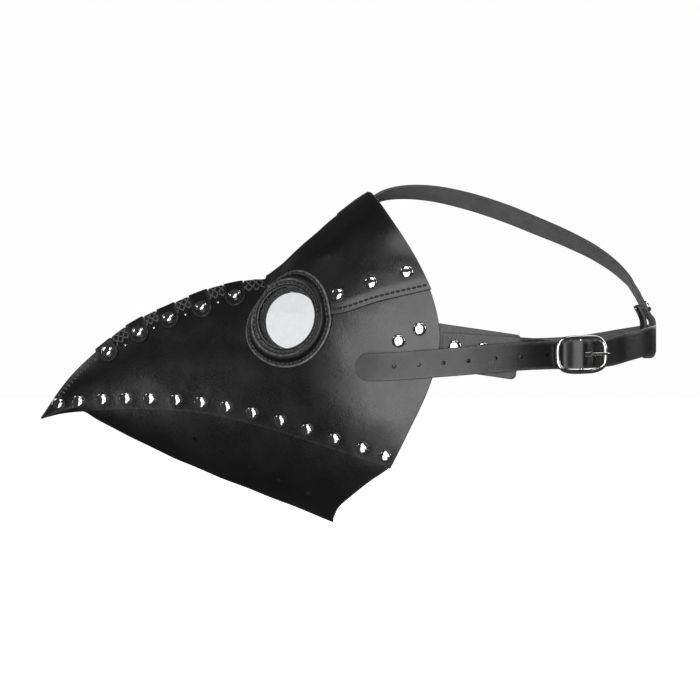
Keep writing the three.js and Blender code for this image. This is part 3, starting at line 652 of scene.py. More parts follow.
def flesh_side(name, dark, light):
    """Back of the leather: short matt nap, mottled grey."""
    f = Finish(name, Specular_IOR_Level=0.25, Sheen_Weight=0.25, Sheen_Roughness=0.45)
    mottle = f.noise(90, 6, 0.7)
    nap = f.noise(1500, 4, 0.75)
    mixed = f.sums("ADD", f.sums("MULTIPLY", mottle, 0.6), f.sums("MULTIPLY", nap, 0.4))
    f.feed("Base Color", f.blend(f.spread(mixed, 0.35, 0.65), dark, light))
    f.feed("Roughness", f.spread(nap, 0.3, 0.7, 0.72, 0.9))
    f.bumps([(mottle, 0.0002), (nap, 0.00008)])
    return f.material


def metal(name, colour, rough, scratch_depth):
    """Plated metal: fine scratches and slightly uneven polish."""
    f = Finish(name, Metallic=1.0)
    clouds = f.noise(140, 4)
    stretched = f.node("Mapping", {"Vector": f.place, "Scale": (900, 160, 900)}).outputs["Vector"]
    scratches = f.noise(1.0, 4, 0.6, place=stretched)
    duller = tuple(0.86 * k for k in colour)
    f.feed("Base Color", f.blend(f.spread(clouds, 0.35, 0.7), colour, duller))
    f.feed("Roughness", f.spread(scratches, 0.35, 0.75, rough - 0.03, rough + 0.07))
    f.bumps([(scratches, scratch_depth)])
    return f.material


def clear_lens():
    """Clear plastic with a slight grey cast and the faintest haze."""
    f = Finish("lens_clear", Transmission_Weight=1.0, IOR=1.49)
    haze = f.noise(260, 5, 0.7)
    f.feed("Roughness", f.spread(haze, 0.4, 0.75, 0.0, 0.045))
    f.feed("Base Color", f.blend(f.spread(haze, 0.3, 0.7), (0.93, 0.94, 0.95), (0.88, 0.89, 0.9)))
    return f.material


def thread(name, dark, light):
    """Waxed thread: two strands twisted together."""
    f = Finish(name, Specular_IOR_Level=0.5, Sheen_Weight=0.1, Sheen_Roughness=0.4)
    twist = f.node("TexWave", {"Vector": f.place, "Scale": 520.0, "Distortion": 1.5},
                   bands_direction="DIAGONAL").outputs["Fac"]
    f.feed("Base Color", f.blend(twist, dark, light))
    f.feed("Roughness", f.spread(twist, 0, 1, 0.35, 0.55))
    f.bumps([(twist, 0.0001)])
    return f.material


SHELL_FACE = leather("shell_leather", (0.004, 0.004, 0.0043), (0.008, 0.008, 0.0084), 0.3,
                     0.0008, 0.00003, 0.00006, (0.05, 0.05, 0.052), 0.5)
# Its pale edge colour, far lighter than the other leathers', paints highlight lines on the eye rings'
# edges and crests.
PAD_FACE = leather("pad_leather", (0.004, 0.004, 0.0043), (0.007, 0.007, 0.0073), 0.42,
                   0.0006, 0.000035, 0.00008, (0.2, 0.2, 0.203), 0.3)
STRAP_FACE = leather("strap_leather", (0.006, 0.006, 0.0063), (0.011, 0.011, 0.0114), 0.33,
                     0.0007, 0.00003, 0.00005, (0.06, 0.06, 0.062), 0.4)
SHELL_EDGE = cut_edge("shell_cut_edge", (0.02, 0.02, 0.021), 0.5)
STRAP_EDGE = cut_edge("strap_cut_edge", (0.035, 0.035, 0.036), 0.5)
SHELL_BACK = flesh_side("shell_flesh_side", (0.03, 0.03, 0.031), (0.055, 0.055, 0.056))
STRAP_BACK = flesh_side("strap_flesh_side", (0.075, 0.075, 0.077), (0.13, 0.13, 0.132))
CHROME = metal("rivet_chrome", (0.8, 0.81, 0.82), 0.07, 0.000004)
NICKEL = metal("buckle_nickel", (0.83, 0.82, 0.8), 0.1, 0.000005)
LENS = clear_lens()
THREAD = thread("waxed_thread", (0.02, 0.02, 0.021), (0.085, 0.085, 0.088))
BLACK_THREAD = thread("black_thread", (0.002, 0.002, 0.002), (0.006, 0.006, 0.006))
# Cut edge inside the drilled holes and slots, ten times darker than the other cut edges: painted shade
# in the holes.
SHADED_HOLE_WALL = cut_edge("hole_wall_painted_shade", (0.002, 0.002, 0.002), 0.85)
SHELL = [SHELL_FACE, SHELL_EDGE, SHELL_BACK, SHADED_HOLE_WALL]
STRAP = [STRAP_FACE, STRAP_EDGE, STRAP_BACK, SHADED_HOLE_WALL]

# ---- shell panels


def shell_piece(node, grid, layer, lift=0.0, keep=None, cutters=()):
    shape = sheet(grid, layer, relief(grid) + lift, keep)
    leather_piece(node, shape, SHELL, cutters=cutters)


def back_of_rows(back_y, z_of_row, count):
    """Where each row of a panel meets the panel's back edge."""
    y = np.zeros(count)
    for _ in range(60):
        y = y + 0.5 * (back_y(z_of_row(y)) - y)
    return y


def panel_grid(along, places, front_y, back_y, start_a, end_a):
    """Points of a panel; places run across it, from the start edge (0) to the end edge (1 or -1)."""
    share = np.abs(places)

    def angle(y):
        return start_a(y) + share * (end_a(y) - start_a(y))

    backs = back_of_rows(back_y, lambda y: shell_point(y, angle(y))[..., 2], len(places))
    y = front_y + along[:, None] * (backs[None, :] - front_y)
    grid = shell_point(y, angle(y))
    grid[..., 0] *= np.where(places < 0, -1, 1)
    return grid


def eye_frame():
    yaw = math.radians(EYE_YAW)
    pitch = math.radians(EYE_PITCH)
    out = np.array([math.cos(yaw) * math.cos(pitch), -math.sin(yaw) * math.cos(pitch),
                    math.sin(pitch)])
    side = unit(np.cross(UP, out))
    return frame_matrix(side, np.cross(out, side), out, surface(*EYE))


EYE_FRAME = eye_frame()


EYE_CUTTER = moved(cylinder(EYE_HOLE_RADIUS, -30, 30, 96, EDGE), EYE_FRAME)


def add_side_panels():
    def under_brow(y):
        top = angle_at(y, np.minimum(brow_z(y) + BROW_OVERLAP, ridge_z(y)))
        return np.where(y < FOREHEAD_FRONT_Y, 1.0, top)

    grid = panel_grid(refined(300, 250), refined(110, 95), TIP_Y, side_back_y, under_brow,
                      lambda y: angle_at(y, seam_z(y)))
    for name, side in SIDES:
        own = grid if side > 0 else (grid * FLIP)[:, ::-1]

        def keep(skin):
            skin[..., 0] = side * np.maximum(side * skin[..., 0], RIDGE_GAP)
            return skin

        shell_piece(f"{name}_side_panel", own, SIDE_LAYER, seam_bulge(own), keep,
                    [on_side(EYE_CUTTER, side)])


def add_forehead():
    grid = panel_grid(refined(120, 110), 2 * refined(220, 200) - 1, FOREHEAD_FRONT_Y, forehead_back_y,
                      lambda y: np.ones_like(y), lambda y: angle_at(y, brow_z(y)))
    shell_piece("forehead_panel", grid, FOREHEAD_LAYER, forehead_lift(grid[..., 1], grid[..., 2]),
                cutters=both_sides([EYE_CUTTER]))


def add_chin():
    grid = panel_grid(refined(150, 190), 2 * refined(160, 170) - 1, CHIN_FRONT_Y, chin_back_y,
                      lambda y: -np.ones_like(y), lambda y: angle_at(y, seam_z(y) + SEAM_OVERLAP))
    grid = grid[:, ::-1]
    vents = [drill(surface(y, z), surface_normal(y, z), VENT_RADIUS, reach=6) for y, z in VENTS]
    shell_piece("chin_panel", grid, CHIN_LAYER, chin_lift(grid[..., 1], grid[..., 2]),
                cutters=both_sides(vents))


def add_patch():
    grid = panel_grid(refined(16, 25), 2 * refined(30, 40) - 1, PATCH_FRONT_Y,
                      lambda z: forehead_back_y(z) - 1, lambda y: np.ones_like(y),
                      lambda y: np.full_like(y, PATCH_END))
    shell_piece("crown_patch", grid, PATCH_LAYER)


def band_grid(foot, drop):
    """A band runs square to the ridge, and its round ends sit round its rivets."""
    rivet_distance = np.linalg.norm(drop)
    reach = rivet_distance + BAND_HALF_WIDTH
    down = unit(drop)
    across = np.array([-down[1], down[0]])
    half = reach * (1 - (1 - np.linspace(0, 1, 40)) ** 1.6)
    distance = np.concatenate([-half[::-1], half[1:]])
    share = np.linspace(-1, 1, 25)
    past = np.clip((np.abs(distance) - rivet_distance) / BAND_HALF_WIDTH, 0, 1)
    width = BAND_HALF_WIDTH * np.sqrt(np.maximum(1 - past**2, 0.01))
    side = share[:, None] * width[None, :]
    y = foot[0] + down[0] * np.abs(distance) + across[0] * side
    shift = ridge_z(foot[0] + across[0] * side) - ridge_z(foot[0])
    z = np.minimum(ridge_z(foot[0]) + down[1] * np.abs(distance) + shift, ridge_z(y))
    grid = surface(y, z)
    grid[..., 0] *= np.sign(distance)[None, :]
    return grid


def add_bands():
    for i, (foot, drop) in enumerate(BAND_FEET):
        shell_piece(f"ridge_band_{i + 1}", band_grid(foot, drop), BAND_LAYER)


# ---- rivets


DOME_START = 0.75
RIVET_LIFT = 0.05


def rivet(inner, outer):
    """Double-cap rivet along Z: domed cap with a turned-in rim, post and domed back."""
    reach = np.sin(np.linspace(np.pi / 2, 0, 14))[:-1]
    dome = [[CAP_RADIUS * k, outer + DOME_START + (CAP_HEIGHT - DOME_START) * math.sqrt(1 - k**3)]
            for k in reach]
    back = inner - 0.9
    rim = [[CAP_RADIUS - 0.5, outer], [CAP_RADIUS - 0.12, outer + 0.1], [CAP_RADIUS, outer + 0.4]]
    low = [[1.2, back - 0.1], [2.6, back + 0.15], [3.1, back + 0.5], [2.9, inner], [1.4, inner]]
    return revolve([[0, back - 0.15], *low, [1.4, outer], *rim, *dome, [0, outer + CAP_HEIGHT]], 40)


def add_rivet(name, point, direction, layers, node=None, body="mask"):
    shape = moved(rivet(*layers), facing(direction, point))
    return add_piece(name, shape, [CHROME], "rivet_metal", body, node, sharp=50)


def add_shell_rivets(kind, places, inner, outer_at, in_cad=True):
    for i, (y, z) in enumerate(places):
        for name, side in SIDES:
            point = surface(y, z) * [side, 1, 1]
            lift = relief(point)
            layers = (inner + lift, outer_at(y, z) + lift + RIVET_LIFT)
            node = f"{name}_{kind}_{i + 1}"
            add_rivet(f"{node}_metal", point, surface_normal(y, z) * [side, 1, 1], layers,
                      node if in_cad else None)


def add_rivets():
    add_shell_rivets("ridge_rivet", BAND_RIVETS, SIDE_LAYER[0], lambda y, z: BAND_LAYER[1])
    add_shell_rivets("brow_rivet", BROW_RIVETS, SIDE_LAYER[0],
                     lambda y, z: FOREHEAD_LAYER[1] + forehead_lift(y, z))
    add_shell_rivets("tab_rivet", TAB_RIVETS, -4.5, lambda y, z: 0.0)
    add_shell_rivets("seam_rivet", SEAM_RIVETS, CHIN_LAYER[0] + CHIN_RISE, lambda y, z: 0.0, False)
    strap_thickness = {"left": BUCKLE_STRAP_THICKNESS, "right": STRAP_THICKNESS}
    for i, (y, z) in enumerate(STRAP_RIVETS):
        for name, side in SIDES:
            layers = (-LEATHER / 2, LEATHER / 2 + LAYER_GAP + strap_thickness[name])
            node = f"{name}_strap_rivet_{i + 1}"
            add_rivet(f"{node}_metal", (side * TAB_X, y, z), (side, 0, 0), layers, node)


# ---- eyes


SEARCH_HEIGHTS = (-25.0, 12.0)
SEARCH_STEPS = 36
FLANGE_GAP = 0.15


def shell_height(u, v, lift):
    """Height over the eye's plane, at places in it, that clears the shell by the lift."""
    low, high = (np.full(u.shape, limit) for limit in SEARCH_HEIGHTS)
    for _ in range(SEARCH_STEPS):
        middle = (low + high) / 2
        points = transformed(np.stack([u, v, middle], -1), EYE_FRAME)
        base = surface(points[..., 1], points[..., 2])
        normal = surface_normal(points[..., 1], points[..., 2])
        above = (points[..., 0] - base[..., 0]) * normal[..., 0] > lift(points)
        high = np.where(above, middle, high)
        low = np.where(above, low, middle)
    return low


def flange_lift(points):
    """Top of the leather that an eye ring's flange lies on."""
    y, z = points[..., 1], points[..., 2]
    over = smoothstep(z - brow_z(y), -2.5, 0.5)
    return relief(points) + FLANGE_GAP + over * (FOREHEAD_LAYER[1] + forehead_lift(y, z))


RING_PROFILE = [
    # radius, height, share that follows the shell, and share of paler colour, which paints highlight
    # lines along the ring's edges and crests
    [31.6, 0.0, 1, 0.3], [31.8, 0.3, 1, 0.8], [31.75, 1.0, 1, 1.0], [31.5, 1.4, 1, 1.2],
    [31.0, 1.6, 1, 1.0], [30.3, 1.6, 1, 0.2], [29.4, 1.4, 1, 0], [28.8, 1.25, 1, 0],
    [28.3, 1.35, 1, 0], [28.05, 1.9, 0.98, 0], [27.85, 2.7, 0.94, 0], [27.4, 3.5, 0.88, 0],
    [26.8, 4.1, 0.8, 0], [26.1, 4.45, 0.7, 0.1], [25.4, 4.55, 0.6, 0.1], [24.8, 4.4, 0.5, 0.5],
    [24.4, 4.15, 0.42, 1.0], [24.15, 3.8, 0.36, 1.2], [23.9, 3.3, 0.3, 0.4], [23.6, 3.15, 0.25, 0],
    [23.2, 3.25, 0.2, 0.2], [22.6, 3.2, 0.12, 0], [22.0, 3.1, 0.06, 0.2], [21.6, 3.0, 0.02, 1.0],
    [21.45, 2.7, 0, 0.5], [21.3, 2.35, 0, 0], [20.9, 2.3, 0, 0], [20.3, 2.3, 0, 0.2],
    [19.95, 2.2, 0, 0.9], [19.8, 1.9, 0, 0.5], [19.8, 1.4, 0, 0], [23.3, 1.4, 0, 0],
    [23.3, -0.6, 0, 0], [24.9, -0.4, 0, 0], [25.2, 0.4, 0.5, 0], [25.6, 0.2, 1, 0]]


def ring_surface(turns, radius, height, share):
    """Points of the left eye ring; share is how far a point follows the shell below it."""
    turns, radius, height, share = np.broadcast_arrays(turns, radius, height, share)
    u = np.cos(turns) * radius
    v = np.sin(turns) * radius
    follow = shell_height(u, v, flange_lift) * share
    return transformed(np.stack([u, v, follow + height], -1), EYE_FRAME)


def eye_ring(sides=160):
    # The last column paints highlight lines in a paler colour along the ring's edges and crests.
    radii, heights, shares, wear = np.array(RING_PROFILE).T
    sections = ring_surface(full_turn(sides)[:, None], radii, heights, shares)
    finish = np.zeros(len(radii), int)
    finish[:3] = EDGE
    return sweep(sections, finish, wear, closed=True)


# Rows of stitches round an eye ring: radius, height, share that follows the shell, count of
# stitches, and the part of each step that its stitch covers
RING_ROWS = [(29.2, 1.4, 1, 60, 0.66), (22.5, 3.25, 0.12, 46, 0.62)]
RING_STITCH_RADIUS = 0.36


def ring_stitches(radius, height, share, count, cover):
    """Stitches round an eye ring: each one lies on the ring between two holes."""
    rise = np.array([-0.25, 0.12, 0.26, 0.3, 0.26, 0.12, -0.25])
    place = np.linspace(0.5 - cover / 2, 0.5 + cover / 2, len(rise))
    turns = 2 * np.pi * (np.arange(count)[:, None] + place) / count
    return list(ring_surface(turns, radius, height + rise, share))


def tube(line, radius, sides=7):
    """Closed tube with tapered ends along a short line."""
    line = np.array(line, float)
    along = unit(np.gradient(line, axis=0))
    helper = np.array([0.31, 0.52, 0.8])
    first = unit(np.cross(along, helper))
    second = np.cross(along, first)
    size = radius * np.ones((len(line), 1, 1))
    size[[0, -1]] *= 0.6
    sections = line[:, None] + circles(first, second, full_turn(sides)) * size
    return plain_sweep(sections)


def add_threads(name, lines, radius, finish=THREAD, side=1):
    shape = merged([tube(line, radius) for line in lines])
    add_piece(name, on_side(shape, side), [finish], "shell_leather", sharp=60)


def lens_disc():
    base, top = LENS_FACES
    inner = LENS_RADIUS - LENS_BEVEL
    return revolve([[0, base], [inner, base], [LENS_RADIUS, base + LENS_BEVEL],
                    [LENS_RADIUS, top - LENS_BEVEL], [inner, top], [0, top]], 96)


def retainer_ring():
    inner, outer = RETAINER_RADII
    low, high = RETAINER_FACES
    step = RETAINER_ROUND
    return revolve([[inner, low + 0.2], [inner + step, low], [outer - step, low], [outer, low + 0.25],
                    [outer, high - 0.25], [outer - step, high], [inner + step, high],
                    [inner, high - 0.25]], 96)


def add_eyes():
    ring = eye_ring()
    lens = moved(lens_disc(), EYE_FRAME)
    retainer = moved(retainer_ring(), EYE_FRAME)
    stitches = [line for row in RING_ROWS for line in ring_stitches(*row)]
    for name, side in SIDES:
        pad = leather_piece(f"{name}_eye_ring", on_side(ring, side), [PAD_FACE, SHELL_EDGE])
        add_threads(f"{name}_eye_stitches", stitches, RING_STITCH_RADIUS, side=side)
        add_piece(f"{name}_lens_clear", on_side(lens, side), [LENS], "lens_clear",
                  node=f"{name}_lens")
        leather_piece(f"{name}_lens_retainer", on_side(retainer, side), [SHELL_EDGE])


# ---- seams and stitches


def on_shell(y, z, side, height):
    """Point over the outer face of a side panel."""
    point = surface(y, z)
    bulge = seam_bulge(point) + relief(point * [side, 1, 1])
    return (point + surface_normal(y, z) * (height + bulge)) * [side, 1, 1]


def stitch(first, last, side, rise):
    """Stitch between two places in side view, with its rise over the leather at each step."""
    steps = np.linspace(0, 1, len(rise))
    return [on_shell(*(first + s * (last - first)), side, h) for s, h in zip(steps, rise)]


def ridge_frame(y):
    """Point of the ridge in side view, the direction along it and the one down the side."""
    slope = (ridge_z(y + 1) - ridge_z(y - 1)) / 2
    along = unit([1, float(slope)])
    return np.array([y, float(ridge_z(y))]), along, np.array([along[1], -along[0]])


def ridge_walk(start_y, end_y, pitch):
    """Places along the ridge, evenly spaced along its slope."""
    y = np.linspace(start_y, end_y, 400)
    length = running_length(y, ridge_z(y))
    count = max(int(round(length[-1] / pitch)), 1)
    return np.interp((np.arange(count) + 0.5) * length[-1] / count, length, y)


SEAM_RISE = [-0.35, 0.1, 0.3, 0.34, 0.3, 0.1, -0.35]
SEAM_START_Y = -229.5
SEAM_PITCH = 3.0


def add_front_seam():
    """Slanted stitches from the tip of the beak to the first band, on both sides."""
    lines = []
    end_y = BAND_FEET[0][0][0] - BAND_HALF_WIDTH - 0.5
    for y in ridge_walk(SEAM_START_Y, end_y, SEAM_PITCH):
        ridge, along, down = ridge_frame(y)
        low = ridge + 4.6 * down + 0.5 * along
        high = ridge + 1.6 * down - 0.4 * along
        lines += [stitch(low, high, side, SEAM_RISE) for side in (1, -1)]
    add_threads("ridge_seam_thread", lines, radius=0.5)


LACE_DEPTHS = [0.4, 2.5, 4.6, 6.7]
LACE_RISE = [-0.3, 0.1, 0.32, 0.4, 0.32, 0.1, -0.3]
LACE_LEAN = 1.15
LACE_PITCH = 2.3
LACE_END_Y = -91.5
PIN_DEPTH = 9.6


def add_lacing():
    """Crossed stitches over the ridge between the bands."""
    feet = [foot[0] for foot, _ in BAND_FEET]
    clear = BAND_HALF_WIDTH * 0.86
    lines = []
    for start, end in zip(feet, [*(y - clear for y in feet[1:]), LACE_END_Y]):
        for k, y in enumerate(ridge_walk(start + clear, end, LACE_PITCH)):
            ridge, along, down = ridge_frame(y)
            for side in (1, -1):
                for row, (top, low) in enumerate(zip(LACE_DEPTHS, LACE_DEPTHS[1:])):
                    lean = LACE_LEAN if (row + k) % 2 else -LACE_LEAN
                    first = ridge + top * down - lean * along
                    last = ridge + low * down + lean * along
                    lines.append(stitch(first, last, side, LACE_RISE))
    add_threads("ridge_lacing_thread", lines, radius=0.55)


def add_lacing_pins():
    """Small pins that end the lacing between the bands."""
    shapes = []
    for (foot, _), (following, _) in zip(BAND_FEET, BAND_FEET[1:]):
        ridge, _, down = ridge_frame((foot[0] + following[0]) / 2 - 0.6)
        place = ridge + PIN_DEPTH * down
        for side in (1, -1):
            point = surface(*place) * [side, 1, 1]
            lift = relief(point)
            dome = [[0, lift - 1], [0.5, lift - 1], [0.5, lift], [1.0, lift + 0.1],
                    [0.9, lift + 0.45], [0.5, lift + 0.72], [0, lift + 0.8]]
            out = surface_normal(*place) * [side, 1, 1]
            shapes.append(moved(revolve(dome, 20), facing(out, point)))
    add_piece("lacing_pins", merged(shapes), [CHROME], "rivet_metal", sharp=60)


BROW_ROW = (-44, 14.5)
BROW_ROW_HEIGHT = 3.1
BROW_PITCH = 3.2
BROW_THREAD_RADIUS = 0.72
BROW_RISE = [-0.35, 0.05, 0.22, 0.26, 0.22, 0.05, -0.35]


def add_brow_stitches():
    """Row of stitches just above the forehead panel's lower edge."""
    y = np.linspace(*BROW_ROW, 400)
    length = running_length(y, brow_z(y))
    count = int(length[-1] / BROW_PITCH)
    cover = np.linspace(0.12, 0.84, len(BROW_RISE))
    for name, side in SIDES:
        lines = []
        for i in range(count):
            places = np.interp((i + cover) / count * length[-1], length, y)
            levels = brow_z(places) + BROW_ROW_HEIGHT
            heights = FOREHEAD_LAYER[1] + forehead_lift(places, levels) + BROW_RISE
            lines.append([on_shell(*place, side, h) for *place, h in zip(places, levels, heights)])
        add_threads(f"{name}_brow_stitches", lines, BROW_THREAD_RADIUS, BLACK_THREAD)


# ---- straps


def ribbon(points, across, widths, thickness):
    """Strap along a line of points: grain side outwards, flesh side inwards, rounded edges."""
    along = unit(np.gradient(points, axis=0))
    across = unit(across - np.sum(across * along, axis=1, keepdims=True) * along)
    out = np.cross(along, across)
    round_off = min(0.5, thickness * 0.3)
    half = thickness / 2
    turns = np.linspace(0, np.pi / 2, 5)
    spread = np.linspace(1, -1, 9)[1:-1]
    section, finish, wear = [], [], []

    def corner(a, k):
        for turn in k * np.pi / 2 + turns:
            section.append((a, round_off * (math.cos(turn) - a), round_off * math.sin(turn)
                            + (half - round_off) * (1 if k < 2 else -1)))
            finish.append(EDGE)
            wear.append(1.0)

    def face(sign, mark):
        for s in spread * sign:
            section.append((s, 0.0, sign * half))
            finish.append(mark)
            wear.append(0.0)
        finish[-len(spread) - 1] = mark

    corner(1, 0)
    face(1, GRAIN)
    corner(-1, 1)
    corner(-1, 2)
    face(-1, FLESH)
    corner(1, 3)
    part, shift, rise = np.array(section).T
    offset = part[None, :] * widths[:, None] / 2 + shift[None, :]
    offset = np.where(np.abs(shift) > 0, np.sign(part) * np.maximum(np.sign(part) * offset, 0), offset)
    sections = points[:, None] + offset[..., None] * across[:, None] + rise[:, None] * out[:, None]
    return sweep(sections, finish, wear)


def strap_places(length, step, tip):
    """Shares along a strap, close together in its round tip."""
    turns = np.linspace(0.08, np.pi / 2, 18)
    start = tip * (1 - np.cos(turns)) / length if tip else np.array([0.0])
    count = int(length / step)
    rest = start[-1] + (1 - start[-1]) * np.linspace(0, 1, count)[1:]
    return np.concatenate([start, rest])


def strap(route, width, thickness, across=UP, tip=0.0, step=1.2, end_round=0.0):
    """Strap along a route. Its width lies along the direction across, which may be a function of
    the share of its length; tip and end_round are the radii of its start and end corners."""
    at, length = spline(route)
    places = strap_places(length, step, tip)
    if end_round:
        turns = np.linspace(0, np.pi / 2, 8)
        last = 1 - end_round * (1 - np.sin(turns)) / length
        places = np.concatenate([places[places < last[0] - 1e-6], last])
    points = at(places)
    widths = np.full(len(places), float(width))
    if tip:
        left = 1 - np.minimum(places * length / tip, 1)
        widths = width * np.sqrt(1 - left**2)
    if end_round:
        past = np.clip((places * length - (length - end_round)) / end_round, 0, 1)
        widths = widths - 2 * end_round * (1 - np.sqrt(1 - past**2))
    return ribbon(points, across(places) if callable(across) else across, widths, thickness)


BUCKLE_ALONG = unit([-0.27, 0.96, 0.03])
BUCKLE_OUT = unit(np.cross(BUCKLE_ALONG, UP))
BUCKLE_UP = np.cross(BUCKLE_OUT, BUCKLE_ALONG)
BUCKLE_FRAME = frame_matrix(BUCKLE_ALONG, BUCKLE_UP, BUCKLE_OUT, BUCKLE_CENTRE)


def at_buckle(along, out, up=0.0):
    return BUCKLE_CENTRE + along * BUCKLE_ALONG + up * BUCKLE_UP + out * BUCKLE_OUT


SLOT_SIDES = 32


def slot_cutter(along, out, length, width, depth):
    """Round-ended slot through a strap at the buckle."""
    turns = full_turn(SLOT_SIDES)
    half = (length - width) / 2
    x = np.where(np.cos(turns) >= 0, half, -half) + width / 2 * np.cos(turns)
    y = width / 2 * np.sin(turns)
    ring = np.stack([x, y, 0 * x], -1)
    sections = np.stack([ring + [along, 0, out - depth], ring + [along, 0, out + depth]])
    return moved(plain_sweep(sections, finish=EDGE), BUCKLE_FRAME)


def add_tabs():
    """Tabs that follow the inside of the cheeks and then leave them for the straps."""
    y = np.array(TAB_Y, float)
    z = TAB_RISE + TAB_SLOPE * y
    near = np.minimum(y, TAB_LEAVES_Y)
    shell_x = (surface(near, z) + surface_normal(near, z) * TAB_LAYER)[..., 0]
    x = shell_x + smoothstep(y, 6, 26) * (TAB_X - shell_x)
    shape = strap(np.stack([x, y, z], -1), TAB_WIDTH, LEATHER, unit([0, -TAB_SLOPE, 1]),
                  step=1.5, end_round=3.0)
    for name, side in SIDES:
        leather_piece(f"{name}_anchor_tab", on_side(shape, side), STRAP, "strap_leather")


def rear_route():
    """Places from the tail on the left cheek, over the buckle and round the back of the head."""
    far_x = TAB_X + LEATHER / 2 + LAYER_GAP + STRAP_THICKNESS / 2
    tail = [(surface(-30, -13.8)[0] + 1.5, -30, -13.8), (surface(-15, -14)[0] + 1.8, -15, -13.9),
            (surface(2, -13)[0] + 2.2, 2, -12.9), (77, 24, -11.2), (78, 40, -9.9), (77.4, 54, -8.6),
            (75.6, 72, -7.3), (72.4, 86, -6.6)]
    over_bar = [(-14.6, -2.9), (-10.4, -2.6), (-5, 1.7), (0, 3.7), (5, 1.7), (10.4, -2.6),
                (14.6, -2.9, 0.2), (21, -2.3, 0.9)]
    rear = [(56.5, 139, -2.2), (44, 154, 1.4), (26, BACK_Y - 0.6, 3.8), (14, BACK_Y, 4.6),
            (0, BACK_Y, 5), (-14, BACK_Y, 4.8), (-26, BACK_Y - 0.6, 4.4), (-44, 154, 2.4)]
    far = [(-58, 136, -0.8), (-66, 114, -3), (-71.4, 88, -3.6), (-far_x, 70, -3.2),
           (-far_x, 48, -2.7), (-far_x, 24, -0.8)]
    return [*tail, *(at_buckle(*place) for place in over_bar), *rear, *far]


def add_rear_strap():
    route = rear_route()
    shape = strap(route, STRAP_WIDTH, STRAP_THICKNESS, tip=8.7, step=1.0, end_round=3.0)
    line = spline(route)[0](np.linspace(0, 0.5, 3000))
    cutters = []
    for y in STRAP_HOLE_Y:
        nearest = line[np.argmin(np.abs(line[:, 1] - y))]
        cutters.append(drill(nearest, BUCKLE_OUT, HOLE_RADIUS, reach=3.2, sides=20))
    cutters.append(slot_cutter(along=5.2, out=2, length=11, width=3.2, depth=4.5))
    leather_piece("rear_strap", shape, STRAP, "strap_leather", cutters=cutters)


def add_buckle_strap():
    """Strap from the left tab to the buckle's centre bar, round it and back."""
    x = TAB_X + LEATHER / 2 + LAYER_GAP + BUCKLE_STRAP_THICKNESS / 2
    fold = CENTRE_BAR_RADIUS + 0.45 + BUCKLE_STRAP_THICKNESS / 2
    outer = [(x, 24, -1.2), (x, 40, -2), (x + 0.1, 58, -3.2), (x + 0.3, 73, -4.2), (70.3, 85.5, -5.2)]
    climb = [at_buckle(*p) for p in ((-14.6, -5.3), (-10.4, -5), (-5, -1.2))]
    bend = [at_buckle(fold * math.sin(t), CENTRE_BAR_OUT + fold * math.cos(t))
            for t in np.linspace(0, np.pi, 7)]
    back = [at_buckle(*p) for p in ((-4.5, -4.7), (-10.4, -7.1), (-14.6, -7.3), (-22, -6.3), (-33, -6))]
    shape = strap([*outer, *climb, *bend, *back], STRAP_WIDTH, BUCKLE_STRAP_THICKNESS,
                  step=0.8, end_round=2.0)
    slot = slot_cutter(along=1, out=CENTRE_BAR_OUT, length=8, width=3, depth=4.5)
    leather_piece("buckle_strap", shape, STRAP, "strap_leather", cutters=[slot])


CROWN_ROUTE = [(0, -42, 78.2), (0, -32, 86.6), (0, -21, 94.6), (0, -11, 99.6), (0, 2, 101.8),
               (0, 21, 101), (0, 44, 96.2), (0, 68, 88.6), (0, 92, 79), (0, 113, 70),
               (0, 130, 61.2), (0, 143, 52), (0, 151.5, 43.6), (0, 157.4, 35), (0, 158.45, 33.08)]


def crown_across(places):
    middle = np.clip((places - CROWN_LEAN_START) / (CROWN_LEAN_END - CROWN_LEAN_START), 0, 1)
    lean = math.radians(CROWN_LEAN) * np.sqrt(np.sin(np.pi * middle).clip(0))
    return np.stack([np.cos(lean), np.zeros_like(lean), np.sin(lean)], -1)


def add_crown_strap():
    shape = strap(CROWN_ROUTE, STRAP_WIDTH, STRAP_THICKNESS, crown_across)
    obj = leather_piece("crown_strap", flipped(shape), STRAP, "strap_leather", body=None)
    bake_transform(obj)


def flipped(shape):
    """The same strap with its grain side on the other face."""
    finish = [{GRAIN: FLESH, FLESH: GRAIN}.get(k, k) for k in shape.finish]
    return shape._replace(finish=finish)


LOOP_MIDDLE_Z = 5
LOOP_PIN = (0, 161.2, 24.2)
LOOP_PIN_OUT = (0, 0.86, 0.5)
LOOP_PIN_LAYERS = (-3.2, 3.2)


def add_crown_loop():
    """The strap's own end, folded under the rear strap and riveted to itself."""
    half = STRAP_WIDTH / 2 + 1.6
    inner = STRAP_THICKNESS + 0.9
    middle = LOOP_MIDDLE_Z
    outside = [(0, 158.5, 33), (0, 162, 26.4), (0, 165, 20.5), (0, BACK_Y + inner, middle + half + 1),
               (0, BACK_Y + inner, middle), (0, BACK_Y + inner, middle - half)]
    bend = [(0, BACK_Y + inner * math.cos(t), middle - half - 0.9 * inner * math.sin(t))
            for t in np.pi * np.arange(1, 6) / 6]
    inside = [(0, BACK_Y - inner, middle - half), (0, BACK_Y - inner, middle),
              (0, BACK_Y - inner, middle + half + 1), (0, 160.6, 20.6), (0, 157.6, 26.4)]
    shape = strap([*outside, *bend, *inside], STRAP_WIDTH - 2, STRAP_THICKNESS,
                  np.array([1.0, 0, 0]), step=0.9, end_round=2.0)
    leather_piece("crown_loop", flipped(shape), STRAP, "strap_leather", body="loop")
    add_rivet("loop_rivet_metal", LOOP_PIN, LOOP_PIN_OUT, LOOP_PIN_LAYERS, "loop_rivet", "loop")


# ---- buckle


